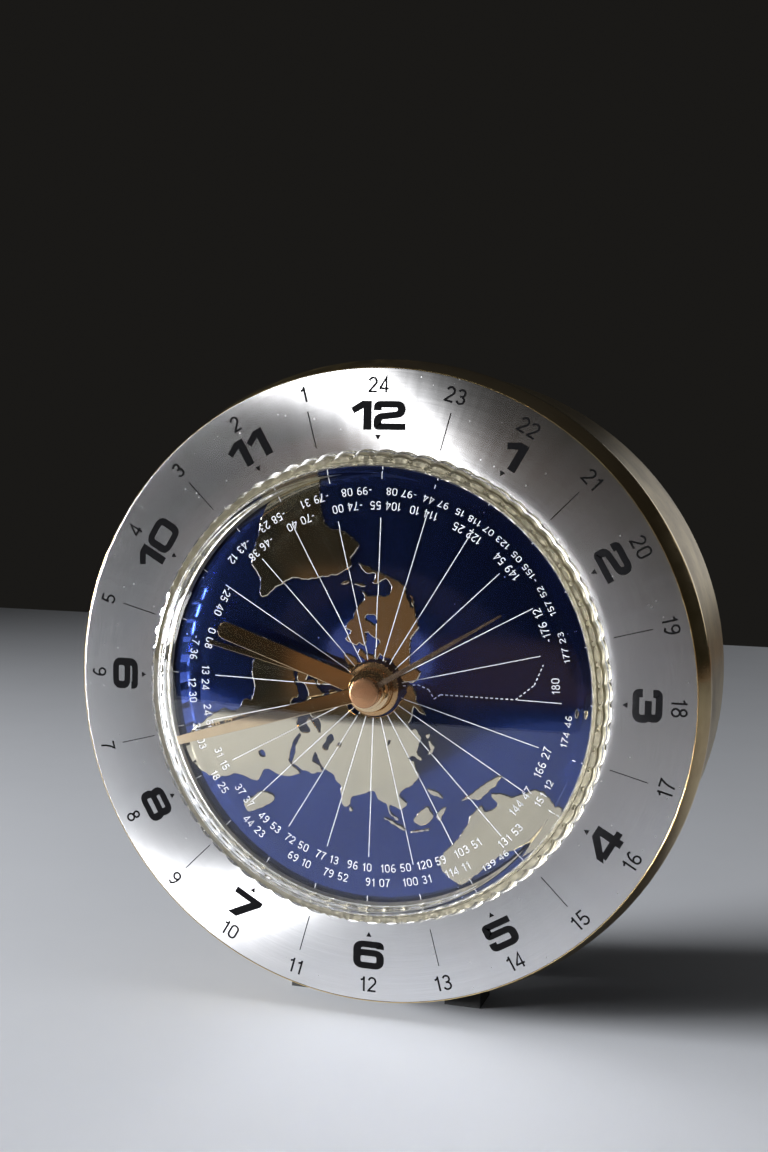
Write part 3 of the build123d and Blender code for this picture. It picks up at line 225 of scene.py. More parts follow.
def roundCorners(points, radius, closed=True, steps=5):
    # the same outline with each corner replaced by a small curve
    count = len(points)
    radii = radius if isinstance(radius, (list, tuple)) else [radius] * count
    done = []
    for i, here in enumerate(points):
        if not closed and i in (0, count - 1):
            done.append(tuple(here))
            continue
        p = Vector(here)
        before = Vector(points[i - 1]) - p
        after = Vector(points[(i + 1) % count]) - p
        cut = min(radii[i], before.length * 0.48, after.length * 0.48)
        if cut < 1e-6:
            done.append(tuple(here))
            continue
        a = p + before.normalized() * cut
        b = p + after.normalized() * cut
        for s in range(steps + 1):
            t = s / steps
            done.append(tuple(a * (1 - t) ** 2 + p * 2 * t * (1 - t) + b * t * t))
    return done


def arcPoints(cx, cy, rx, ry, start, end, count=10):
    # angles in degrees, counted from +x towards +y
    return [
        (
            cx + rx * math.cos(math.radians(start + (end - start) * i / count)),
            cy + ry * math.sin(math.radians(start + (end - start) * i / count)),
        )
        for i in range(count + 1)
    ]


def strokeOutline(points, width, closed=False):
    # the two sides of a pen stroke that follows the points
    pts = [Vector(p) for p in points]
    count = len(pts)
    left, right = [], []
    for i, p in enumerate(pts):
        before = pts[i - 1] if closed or i else None
        after = pts[(i + 1) % count] if closed or i < count - 1 else None
        d1 = (p - before).normalized() if before is not None and (p - before).length > 1e-9 else None
        d2 = (after - p).normalized() if after is not None and (after - p).length > 1e-9 else None
        d1, d2 = d1 or d2, d2 or d1
        side = Vector((-(d1.y + d2.y), d1.x + d2.x))
        side.normalize()
        reach = width / 2 / max(0.45, side.dot(Vector((-d1.y, d1.x))))
        left.append(p + side * reach)
        right.append(p - side * reach)
    return left, right


class Shape:
    # vertices and faces gathered in millimetres
    def __init__(self):
        self.verts = []
        self.faces = []

    def grid(self, rows, closeRow=True, closeGrid=False):
        start = len(self.verts)
        width = len(rows[0])
        for row in rows:
            self.verts += [tuple(p) for p in row]
        for r in range(len(rows) if closeGrid else len(rows) - 1):
            nextRow = (r + 1) % len(rows)
            for c in range(width if closeRow else width - 1):
                nextCol = (c + 1) % width
                self.faces.append(
                    (
                        start + r * width + c,
                        start + r * width + nextCol,
                        start + nextRow * width + nextCol,
                        start + nextRow * width + c,
                    )
                )

    def slab(self, outline, low, high):
        # a flat plate with that outline
        start = len(self.verts)
        count = len(outline)
        self.verts += [(p[0], p[1], low) for p in outline] + [(p[0], p[1], high) for p in outline]
        self.faces.append(tuple(start + i for i in reversed(range(count))))
        self.faces.append(tuple(start + count + i for i in range(count)))
        for i in range(count):
            j = (i + 1) % count
            self.faces.append((start + i, start + j, start + count + j, start + count + i))

    def stroke(self, points, width, low, high, closed=False, move=None):
        # a raised pen stroke, as quads along its length
        left, right = strokeOutline(points, width, closed)
        move = move or (lambda p: (p[0], p[1]))
        rows = []
        for a, b in zip(left, right):
            a, b = move(a), move(b)
            rows.append([(a[0], a[1], low), (a[0], a[1], high), (b[0], b[1], high), (b[0], b[1], low)])
        start = len(self.verts)
        self.grid(rows, True, closed)
        if not closed:
            last = start + (len(rows) - 1) * 4
            self.faces.append((start + 3, start + 2, start + 1, start))
            self.faces.append((last, last + 1, last + 2, last + 3))

    def lathe(self, profile, steps, reach=None, closed=True):
        # a ring or wall turned about the dial's axis; reach may change a radius by its angle
        rows = []
        for s in range(steps):
            angle = turn * s / steps
            row = []
            for r, z in profile:
                r = reach(r, z, angle) if reach else r
                row.append((r * math.sin(angle), r * math.cos(angle), z))
            rows.append(row)
        self.grid(rows, closed, True)


def makePiece(name, shape, body, paint, smooth=35, place=toDial, replaces=(), weld=True):
    mesh = bpy.data.meshes.new(name)
    mesh.from_pydata([Vector(v) * mm for v in shape.verts], [], shape.faces)
    work = bmesh.new()
    work.from_mesh(mesh)
    if weld:
        bmesh.ops.remove_doubles(work, verts=work.verts, dist=2e-7)
    bmesh.ops.recalc_face_normals(work, faces=work.faces)
    work.to_mesh(mesh)
    work.free()
    return finishPiece(name, mesh, body, paint, smooth, place, replaces)


def finishPiece(name, mesh, body, paint, smooth=35, place=toDial, replaces=()):
    mesh.materials.clear()
    mesh.materials.append(paint.material)
    if smooth:
        mesh.shade_smooth()
        mesh.set_sharp_from_angle(angle=math.radians(smooth))
    piece = bpy.data.objects.new(name, mesh)
    bpy.context.scene.collection.objects.link(piece)
    piece.matrix_world = place
    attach(piece, body)
    if replaces:
        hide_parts(*replaces)
    return piece


def pressedPlate(name, outlines, holes, low, high, edge, edgeSteps=3):
    # a flat plate with rounded upper edges, round the outlines and along its holes
    work = bmesh.new()
    topEdges, bottomEdges = [], []
    for number, outline in enumerate([*outlines, *holes]):
        area = sum(a[0] * b[1] - b[0] * a[1] for a, b in zip(outline, outline[1:] + outline[:1]))
        if (area < 0) == (number < len(outlines)):
            outline = outline[::-1]
        inwards = strokeOutline(outline, 2 * edge, True)[0]
        rows = [(0, low)]
        for step in range(edgeSteps + 1):
            bend = math.pi / 2 * step / edgeSteps
            rows.append((1 - math.cos(bend), high - edge + edge * math.sin(bend)))
        grid = []
        for share, z in rows:
            points = [Vector(p) * (1 - share) + q * share for p, q in zip(outline, inwards)]
            grid.append([work.verts.new((p.x * mm, p.y * mm, z * mm)) for p in points])
        count = len(outline)
        for lower, upper in zip(grid, grid[1:]):
            for i in range(count):
                work.faces.new((lower[i], lower[(i + 1) % count], upper[(i + 1) % count], upper[i]))
        bottomEdges += [work.edges.get((grid[0][i], grid[0][(i + 1) % count])) for i in range(count)]
        topEdges += [work.edges.get((grid[-1][i], grid[-1][(i + 1) % count])) for i in range(count)]
    for edges in (topEdges, bottomEdges):
        bmesh.ops.triangle_fill(work, use_beauty=True, use_dissolve=False, edges=edges)
    bmesh.ops.recalc_face_normals(work, faces=work.faces)
    mesh = bpy.data.meshes.new(name)
    work.to_mesh(mesh)
    work.free()
    return mesh


# Finishes


def polishedBrass(name, tone, roughness, patina):
    paint = Paint(name, Metallic=1.0)
    spot = paint.place()
    rings = paint.cloud(paint.along(6.0, 9.0), 1.0, 4.0, 0.6)
    stain = paint.cloud(spot, 0.11, 5.0, 0.62)
    smear = paint.cloud(paint.place(flat=(1, 1, 0.35)), 0.35, 4.0, 0.7)
    hair = paint.cloud(paint.along(0.6, 26.0), 1.0, 2.0, 0.5)
    dark = tuple(c * k for c, k in zip(tone, (0.62, 0.52, 0.42)))
    worn = stain.above(0.56, 0.16) * patina
    paint.put(
        Base_Color=paint.blend(worn, tone, dark),
        Roughness=roughness + smear.above(0.55, 0.2) * 0.07 + worn * 0.14 + rings * 0.05,
        Normal=paint.bump(hair, 0.12, 0.02, paint.bump(rings, 0.08, 0.02)),
    )
    return paint


def satinBrass(name):
    # the drum: dull brass with dust and dark spots
    paint = Paint(name, Metallic=1.0)
    spot = paint.place()
    grain = paint.cloud(paint.along(3.0, 22.0), 1.0, 3.0, 0.6)
    stain = paint.cloud(spot, 0.07, 6.0, 0.65)
    specks = paint.cells(spot, 0.55)
    dust = paint.cloud(spot, 1.6, 3.0, 0.7).above(0.70, 0.05)
    dots = (1 - specks.above(0.13, 0.05)) * stain.above(0.5, 0.1)
    tone = paint.blend(stain.above(0.5, 0.2), (0.66, 0.52, 0.27), (0.40, 0.30, 0.16))
    tone = paint.blend(dots * 0.8, tone, (0.12, 0.09, 0.05))
    paint.put(
        Base_Color=paint.blend(dust * 0.2, tone, (0.60, 0.57, 0.50)),
        Roughness=0.27 + stain * 0.16 + dust * 0.15,
        Metallic=1 - dust * 0.15,
        Normal=paint.bump(grain, 0.2, 0.03, paint.bump(dots + dust, 0.3, 0.03)),
    )
    return paint


def brushedRing(name):
    # aluminium turned bright: its fine lines run round the dial
    paint = Paint(name, Metallic=1.0, Anisotropic=0.95, Anisotropic_Rotation=0.0)
    fine = paint.cloud(paint.along(9.0, 13.0), 1.0, 3.0, 0.65)
    broad = paint.cloud(paint.around(34.0, 0.05), 1.0, 2.0, 0.5)
    stain = paint.cloud(paint.place(), 0.06, 4.0, 0.6)
    specks = 1 - paint.cells(paint.place(), 0.42).above(0.045, 0.02)
    scratch = paint.cloud(paint.place(flat=(0.18, 2.2, 1)), 1.0, 1.0, 0.4)
    line = (scratch.above(0.5, 0.006) * (1 - scratch.above(0.512, 0.006))) * stain.above(0.62, 0.05)
    tone = paint.blend(fine, (0.50, 0.50, 0.51), (0.98, 0.98, 0.98))
    tone = paint.blend(stain.above(0.5, 0.25) * 0.3, tone, (0.82, 0.78, 0.76))
    paint.put(
        Base_Color=paint.blend(specks * 0.5 + line * 0.15, tone, (0.98, 0.98, 0.98)),
        Roughness=0.185 + fine * 0.07 + broad * 0.05 + specks * 0.2,
        Normal=paint.bump(fine, 0.03, 0.01),
    )
    return paint


def clearAcrylic(name):
    paint = Paint(
        name,
        Base_Color=(0.985, 0.99, 0.985),
        Transmission_Weight=1.0,
        IOR=1.49,
        Metallic=0.0,
    )
    smear = paint.cloud(paint.place(), 0.09, 4.0, 0.6)
    scuff = paint.cloud(paint.place(flat=(1.8, 0.3, 1)), 1.3, 2.0, 0.5)
    paint.put(
        Roughness=0.004 + smear.above(0.6, 0.1) * 0.012,
        Normal=paint.bump(scuff, 0.012, 0.01),
    )
    return paint


def whitenedSeat(name):
    # painted reflection: the crystal's foot, pressed and cemented into the ring, gets a glittering metal face
    # that stands in for the bright light which the clear wall reflects inside
    paint = Paint(name, Metallic=0.85)
    spot = paint.place()
    chips = paint.cells(spot, 0.9)
    patch = paint.cloud(spot, 0.6, 3.0, 0.6)
    paint.put(
        Base_Color=paint.blend(patch, (0.30, 0.28, 0.22), (0.11, 0.095, 0.055)),
        Roughness=0.25 + patch * 0.3,
        Normal=paint.bump(chips, 0.6, 0.25),
    )
    return paint


def seaLacquer(name):
    # deep blue clear lacquer on a bright plate
    paint = Paint(name, Metallic=0.99, Coat_Weight=0.5, Coat_Roughness=0.02, Coat_IOR=1.5)
    spot = paint.place()
    depth = paint.cloud(spot, 0.05, 3.0, 0.5)
    dust = (1 - paint.cells(spot, 0.32).above(0.05, 0.02)) * paint.cloud(spot, 0.2, 2.0).above(0.5, 0.1)
    tone = paint.blend(depth, (0.020, 0.042, 0.21), (0.036, 0.078, 0.33))
    paint.put(
        Base_Color=paint.blend(dust * 0.5, tone, (0.55, 0.6, 0.75)),
        Roughness=0.085 + depth * 0.02 + dust * 0.2,
        Normal=paint.bump(depth, 0.02, 0.01),
    )
    return paint


def landGold(name):
    # polished pale gold, with a slight orange peel
    paint = Paint(name, Metallic=1.0)
    spot = paint.place()
    tarnish = paint.cloud(spot, 0.12, 4.0, 0.6)
    peel = paint.cloud(spot, 1.6, 2.0, 0.5)
    tone = paint.blend(tarnish, (0.86, 0.78, 0.60), (0.76, 0.69, 0.54))
    paint.put(
        Base_Color=tone,
        Roughness=0.03 + tarnish * 0.02,
        Normal=paint.bump(peel, 0.012, 0.01),
    )
    return paint


def handGold(name, tone, roughness=0.035):
    paint = Paint(name, Metallic=1.0)
    spot = paint.place()
    wear = paint.cloud(spot, 0.4, 4.0, 0.6)
    draw = paint.cloud(spot, 7.0, 2.0, 0.5)
    dust = 1 - paint.cells(spot, 0.9).above(0.06, 0.02)
    low = tuple(c * 0.86 for c in tone)
    paint.put(
        Base_Color=paint.blend(wear, tone, low),
        Roughness=roughness + wear * 0.02 + dust * 0.2,
        Normal=paint.bump(draw, 0.004, 0.01),
    )
    return paint


def ink(name, colour, roughness):
    paint = Paint(name, Specular_IOR_Level=0.0)
    spot = paint.place()
    patch = paint.cloud(spot, 3.0, 4.0, 0.65)
    pale = tuple(c + (0.5 - c) * 0.01 for c in colour)
    paint.put(
        Base_Color=paint.blend(patch.above(0.62, 0.1), colour, pale),
        Roughness=roughness + patch * 0.12,
        Normal=paint.bump(patch, 0.15, 0.01),
    )
    return paint


def plainMetal(name, tone, roughness, streak=(1.0, 1.0, 1.0), stainTone=None):
    paint = Paint(name, Metallic=1.0)
    spot = paint.place(flat=streak)
    grain = paint.cloud(spot, 3.0, 4.0, 0.6)
    stain = paint.cloud(paint.place(), 0.25, 5.0, 0.62)
    stainTone = stainTone or tuple(c * 0.7 for c in tone)
    paint.put(
        Base_Color=paint.blend(stain.above(0.55, 0.2) * 0.7, tone, stainTone),
        Roughness=roughness + grain * 0.14 + stain * 0.08,
        Normal=paint.bump(grain, 0.12, 0.03, paint.rounded(0.08)),
    )
    return paint


def mouldedPlastic(name, tone, roughness, grainSize=5.0, grainDepth=0.25, gloss=0.5, rounding=0.25):
    paint = Paint(name, Specular_IOR_Level=gloss)
    spot = paint.place()
    grain = paint.cloud(spot, grainSize, 3.0, 0.6)
    flow = paint.cloud(spot, 0.08, 4.0, 0.55)
    dust = paint.cloud(spot, 1.1, 4.0, 0.75).above(0.66, 0.05)
    pale = tuple(c + (0.55 - c) * 0.10 for c in tone)
    dark = tuple(c * 0.8 for c in tone)
    colour = paint.blend(flow, dark, tone)
    paint.put(
        Base_Color=paint.blend(dust * 0.5, colour, pale),
        Roughness=roughness + grain * 0.12 + flow * 0.08 + dust * 0.1,
        Normal=paint.bump(grain, grainDepth, 0.06, paint.rounded(rounding)),
    )
    return paint


brassPaint = polishedBrass("bezel_brass", (0.90, 0.68, 0.33), 0.09, 0.45)
drumPaint = satinBrass("drum_brass")
ringPaint = brushedRing("ring_aluminium")
crystalPaint = clearAcrylic("clear_acrylic")
seatGlintPaint = whitenedSeat("seat_painted_glint")
seaPaint = seaLacquer("sea_lacquer")
landPaint = landGold("land_gold")
handPaint = handGold("hand_gold", (0.93, 0.71, 0.45))
# painted shade: the second hand is the same gold as the other hands, darkened here for the dark room that it
# reflects
secondHandShadedGold = handGold("second_hand_painted_shade", (0.17, 0.125, 0.09), 0.25)
collarPaint = handGold("collar_gold", (0.70, 0.44, 0.22), 0.12)
capPaint = handGold("cap_copper", (0.60, 0.33, 0.18), 0.2)
blackInk = ink("black_ink", (0.005, 0.005, 0.0055), 0.6)
whiteInk = ink("white_ink", (0.27, 0.275, 0.29), 0.5)

slotPaints = {
    "polished_brass": brassPaint,
    "satin_brass": drumPaint,
    "brushed_aluminium": ringPaint,
    "clear_acrylic": crystalPaint,
    "zinc_steel": plainMetal("zinc_steel", (0.66, 0.67, 0.68), 0.3),
    "blue_lacquer": seaPaint,
    "champagne_gold": landPaint,
    "gold_plate": handPaint,
    "wheel_brass": plainMetal("wheel_brass", (0.84, 0.66, 0.34), 0.25, (1, 1, 4)),
    "wheel_plastic": mouldedPlastic("wheel_plastic", (0.80, 0.79, 0.73), 0.42, 3.0, 0.06, 0.5, 0.1),
    "black_plastic": mouldedPlastic("black_plastic", (0.022, 0.022, 0.024), 0.42, 6.0, 0.35),
    "grey_plastic": mouldedPlastic("grey_plastic", (0.20, 0.20, 0.21), 0.42, 4.0, 0.2, 0.5, 0.15),
    "motor_iron": plainMetal("motor_iron", (0.50, 0.49, 0.48), 0.38, (1, 3, 1)),
    "magnet": plainMetal("magnet", (0.22, 0.22, 0.23), 0.45),
    "copper_wire": plainMetal("copper_wire", (0.80, 0.36, 0.18), 0.3, (9, 0.6, 0.6)),
    "board_green": mouldedPlastic("board_green", (0.03, 0.17, 0.07), 0.3, 1.2, 0.08, 0.5, 0.1),
    "nickel": plainMetal("nickel", (0.78, 0.76, 0.72), 0.2, (2, 2, 2)),
    "cell_sleeve": plainMetal("cell_sleeve", (0.62, 0.45, 0.16), 0.3, (6, 0.4, 0.4)),
    "black_rubber": mouldedPlastic("black_rubber", (0.02, 0.02, 0.02), 0.72, 8.0, 0.3, 0.3, 0.3),
}
for entry in frame["record"]["subparts"]:
    node = frame["nodes"][entry["node"]]
    node.data.materials.clear()
    node.data.materials.append(slotPaints[entry["material_slot"]].material)
print("finishes made")


# Case

cad = cadSize("front_bezel")
bezel = {
    "rim": cad["radius"],
    "bore": cad["radius"] - 1.85,
    "lip": cad["radius"] - 1.7,
    "flat": 1.2,
    "depth": -cad["rear"],
    "spigot": cad["radius"] - 1.28,
    "ledge": 53.9,
    "steps": 360,
}
outline = roundCorners(
    [
        (bezel["bore"], 0.0),
        (bezel["lip"], 0.0),
        (bezel["rim"], bezel["flat"] - bezel["depth"]),
        (bezel["rim"], -bezel["depth"]),
        (bezel["spigot"], -bezel["depth"]),
        (bezel["spigot"], -2.0),
        (bezel["ledge"], -2.0),
        (bezel["ledge"], -0.8),
        (bezel["bore"], -0.8),
    ],
    [0.03, 0.04, 1.0, 0.25, 0.0, 0.0, 0.1, 0.0, 0.0],
)
shape = Shape()
shape.lathe(outline, bezel["steps"])
hoop = makePiece("bezel", shape, "case", brassPaint, 30, replaces=["front_bezel"])
hoop.visible_diffuse = False  # the brass throws no gold glow on the table

cad = cadSize("case_drum")
drum = {
    "radius": cad["radius"],
    "front": bezel["depth"],
    "rear": -cad["rear"],
    "wall": 1.6,
    "edge": 1.1,
    "steps": 360,
}
bore = drum["radius"] - drum["wall"]
outline = roundCorners(
    [
        (drum["radius"], -drum["front"]),
        (drum["radius"], -drum["rear"]),
        (bore, -drum["rear"]),
        (bore, -40.4),
        (bore - 3.6, -40.4),
        (bore - 3.6, -39.2),
        (bore, -39.2),
        (bore, -2.8),
        (58.7, -2.8),
        (58.7, -drum["front"]),
    ],
    [0.0, drum["edge"], 0.4, 0.0, 0.1, 0.1, 0.0, 0.0, 0.0, 0.0],
)
shape = Shape()
shape.lathe(outline, drum["steps"])
body = makePiece("drum", shape, "case", drumPaint, 30, replaces=["case_drum"])
body.visible_diffuse = False
print("case made")


# Ring and its print

cad = cadSize("chapter_ring")
ring = {
    "bore": 41.95,
    "radius": cad["radius"],
    "thick": -cad["rear"],
    "edge": 0.04,
    "steps": 360,
    "ink": 0.03,
}
shape = Shape()
shape.lathe(
    roundCorners(
        [(ring["bore"], 0), (ring["radius"] - ring["edge"], 0), (ring["radius"], -ring["edge"] * 0.7),
         (ring["radius"], -ring["thick"]), (ring["bore"], -ring["thick"])],
        [0.08, 0.1, 0.08, 0.0, 0.0],
        steps=3,
    ),
    ring["steps"],
)
makePiece("hour_ring", shape, "case", ringPaint, 30, replaces=["chapter_ring"])


def onRing(angle, radius, inward=False):
    # turns a figure's own (u, v) into a place on the dial, its top outwards or towards the middle
    a = math.radians(angle)
    along, out = (math.cos(a), -math.sin(a)), (math.sin(a), math.cos(a))
    flip = -1 if inward else 1
    return lambda p: (
        flip * p[0] * along[0] + (radius + flip * p[1]) * out[0],
        flip * p[0] * along[1] + (radius + flip * p[1]) * out[1],
    )


# Broad figures, 5.0 wide and 5.2 high before they are stretched: pen strokes and solid pieces
broad = {"width": 5.0, "height": 5.2, "pen": 1.2, "stretch": 1.19, "space": 0.42}
broadFigures = {
    "0": {"width": 5.0, "strokes": [([(0.6, 0.6), (4.4, 0.6), (4.4, 4.6), (0.6, 4.6)], 1.15, True)]},
    "1": {
        "width": 3.2,
        "solids": [[(1.95, 0), (3.2, 0), (3.2, 5.2), (1.75, 5.2), (0, 3.95), (0.45, 2.95), (1.95, 3.9)]],
    },
    "2": {
        "width": 5.0,
        "strokes": [
            ([(0.62, 3.5), (0.62, 4.6), (4.38, 4.6), (4.38, 2.85), (0.62, 2.35), (0.62, 0.6), (5.0, 0.6)],
             [0, 0.9, 1.0, 1.0, 1.0, 0.25, 0], False)
        ],
    },
    "3": {
        "width": 5.0,
        "strokes": [
            ([(0.62, 3.55), (0.62, 4.6), (4.25, 4.6), (4.25, 2.75), (1.7, 2.75)],
             [0, 0.9, 0.9, 0.75, 0], False),
            ([(1.7, 2.75), (4.38, 2.75), (4.38, 0.6), (0.62, 0.6), (0.62, 1.75)],
             [0, 0.75, 1.0, 0.9, 0], False),
        ],
    },
    "4": {
        "width": 5.3,
        "strokes": [([(5.3, 1.45), (0.6, 1.45)], 0, False), ([(3.85, 0), (3.85, 5.2)], 0, False)],
        "solids": [[(0, 0.9), (1.3, 2.0), (3.3, 4.1), (3.3, 5.2), (2.55, 5.2), (0, 2.35)]],
    },
    "5": {
        "width": 5.0,
        "strokes": [
            ([(4.75, 4.6), (0.66, 4.6), (0.66, 2.95), (4.38, 2.95), (4.38, 0.6), (0.62, 0.6), (0.62, 1.7)],
             [0, 0.2, 0.25, 1.0, 1.0, 0.9, 0], False)
        ],
    },
    "6": {
        "width": 5.0,
        "strokes": [
            ([(0.62, 0.6), (4.38, 0.6), (4.38, 3.0), (0.62, 3.0)], 0.95, True),
            ([(0.62, 1.8), (0.62, 4.6), (4.36, 4.6), (4.36, 3.85)], [0, 1.1, 0.85, 0], False),
        ],
    },
    "7": {
        "width": 4.9,
        "solids": [[(0, 4.0), (0, 5.2), (4.9, 5.2), (4.9, 4.35), (2.15, 0), (0.6, 0), (3.1, 4.0)]],
    },
    "8": {
        "width": 5.0,
        "strokes": [
            ([(0.6, 0.6), (4.4, 0.6), (4.4, 2.72), (0.6, 2.72)], 0.85, True),
            ([(0.78, 2.72), (4.22, 2.72), (4.22, 4.6), (0.78, 4.6)], 0.8, True),
        ],
    },
}
broadFigures["9"] = {
    "width": 5.0,
    "strokes": [([(5.0 - x, 5.2 - y) for x, y in points], radius, closed)
                for points, radius, closed in broadFigures["6"]["strokes"]],
}


def broadNumber(shape, text, place, low, high):
    total = sum(broadFigures[c]["width"] for c in text) * broad["stretch"] + broad["space"] * (len(text) - 1)
    left = -total / 2
    lift = 0.0
    for c in text:
        figure = broadFigures[c]

        def put(p, left=left):
            return place((left + p[0] * broad["stretch"], p[1] - broad["height"] / 2))

        for points, radius, closed in figure.get("strokes", []):
            path = roundCorners(points, radius, closed, 7) if radius else points
            shape.stroke(path, broad["pen"], low, high + lift, closed, put)
            lift += 0.002
        for solid in figure.get("solids", []):
            shape.slab([put(p) for p in solid], low, high + lift)
            lift += 0.002
        left += figure["width"] * broad["stretch"] + broad["space"]


# Fine figures, 1 high: the pen and the height come with each use
fineFigures = {
    "0": (0.62, [
        (arcPoints(0.31, 0.72, 0.24, 0.22, 0, 180, 8) + arcPoints(0.31, 0.28, 0.24, 0.22, 180, 360, 8),
         True)]),
    "1": (0.42, [([(0.30, 0), (0.30, 0.97)], False), ([(0.30, 0.90), (0.24, 0.80), (0.08, 0.74)], False)]),
    "2": (0.60, [
        (arcPoints(0.30, 0.70, 0.23, 0.24, 170, -38, 10) + [(0.10, 0.14), (0.06, 0.06), (0.55, 0.06)],
         False)]),
    "3": (0.60, [
        (arcPoints(0.29, 0.73, 0.21, 0.21, 160, -80, 9) + [(0.22, 0.52)], False),
        ([(0.22, 0.52)] + arcPoints(0.29, 0.29, 0.24, 0.23, 80, -160, 10), False)]),
    "4": (0.62, [([(0.44, 0), (0.44, 0.95), (0.05, 0.30), (0.05, 0.26), (0.60, 0.26)], False)]),
    "5": (0.60, [
        ([(0.52, 0.94), (0.14, 0.94), (0.09, 0.50)] + arcPoints(0.29, 0.31, 0.245, 0.25, 130, -155, 11),
         False)]),
    "6": (0.60, [
        (arcPoints(0.31, 0.28, 0.23, 0.23, 0, 360, 16)[:-1], True),
        (arcPoints(0.33, 0.70, 0.20, 0.25, 40, 100, 4) + arcPoints(0.40, 0.42, 0.32, 0.52, 110, 190, 7),
         False)]),
    "7": (0.56, [([(0.04, 0.94), (0.53, 0.94), (0.36, 0.66), (0.25, 0.36), (0.19, 0)], False)]),
    "8": (0.60, [
        (arcPoints(0.30, 0.74, 0.195, 0.20, 0, 360, 14)[:-1], True),
        (arcPoints(0.30, 0.28, 0.235, 0.235, 0, 360, 16)[:-1], True)]),
    "-": (0.40, [([(0.06, 0.42), (0.34, 0.42)], False)]),
    "+": (0.52, [([(0.06, 0.42), (0.46, 0.42)], False), ([(0.26, 0.22), (0.26, 0.62)], False)]),
    ".": (0.24, [([(0.12, 0.0), (0.12, 0.12)], False)]),
    " ": (0.30, []),
}
fineFigures["9"] = (
    0.60, [([(0.60 - x, 1 - y) for x, y in points], closed) for points, closed in fineFigures["6"][1]]
)


def fineNumber(shape, text, place, height, pen, low, high, space=0.13):
    widths = [fineFigures[c][0] * height for c in text]
    left = -(sum(widths) + space * height * (len(text) - 1)) / 2
    lift = 0.0
    for c, width in zip(text, widths):

        def put(p, left=left):
            return place((left + p[0] * height, (p[1] - 0.5) * height))

        for points, closed in fineFigures[c][1]:
            # the pen is set in the figure's own unit height
            shape.stroke(points, pen / height, low, high + lift, closed, put)
            lift += 0.0012
        left += width + space * height


figures = {"broadRadius": 49.6, "fineRadius": 55.1, "fineHeight": 2.85, "finePen": 0.34}
ticks = {"inner": 45.0, "outer": 51.9, "width": 0.14}
marks = {"tip": 45.25, "base": 46.15, "half": 0.5}
top = ring["ink"]

shape = Shape()
for hour in range(1, 13):
    angle = hour * 30
    broadNumber(shape, str(hour), onRing(angle, figures["broadRadius"], 90 < angle % 360 < 270), -0.02, top)
makePiece("hour_figures", shape, "case", blackInk, 20, weld=False)

shape = Shape()
for hour in range(1, 25):
    angle = -hour * 15
    inward = 90 < angle % 360 < 270
    place = onRing(angle, figures["fineRadius"], inward)
    fineNumber(shape, str(hour), place, figures["fineHeight"], figures["finePen"], -0.02, top)
makePiece("day_figures", shape, "case", blackInk, 20, weld=False)

shape = Shape()
for number in range(12):
    place = onRing(15 + number * 30, 0)
    shape.stroke([(0, ticks["inner"]), (0, ticks["outer"])], ticks["width"], -0.02, top, move=place)
    place = onRing(number * 30, 0)
    corners = [(0, marks["tip"]), (-marks["half"], marks["base"]), (marks["half"], marks["base"])]
    shape.slab([place(p) for p in corners], -0.02, top)
makePiece("ring_marks", shape, "case", blackInk, 20, weld=False)
print("ring printed")


# Map

cad = cadSize("map_disc")
mapDisc = {
    "set": cad["front"],
    "thick": cad["front"] - cad["rear"],
    "radius": cad["radius"],
    "bore": 2.42,
    "turn": 271.05,
    "steps": 240,
}
land = {"height": 0.35, "edge": 0.2, "rim": 42.85, "hub": 5.3, "wiggle": 0.27, "step": 0.42}
lines = {"width": 0.16, "ink": 0.02, "start": 5.3, "rimIn": 38.9, "rimOut": 41.2}


def mapRadius(latitude):
    away = 90 - latitude
    return 0.281 * min(away, 105) + 0.512 * max(away - 105, 0)


def mapPoint(latitude, longitude):
    a = math.radians(mapDisc["turn"] - longitude)
    r = mapRadius(latitude)
    return Vector((r * math.sin(a), r * math.cos(a)))


shape = Shape()
shape.lathe(
    roundCorners(
        [
            (mapDisc["bore"], mapDisc["set"]),
            (mapDisc["radius"], mapDisc["set"]),
            (mapDisc["radius"], mapDisc["set"] - mapDisc["thick"]),
            (mapDisc["bore"], mapDisc["set"] - mapDisc["thick"]),
        ],
        0.08,
        steps=2,
    ),
    mapDisc["steps"],
)
makePiece("sea_plate", shape, "world_map", seaPaint, 30, replaces=["map_disc"])

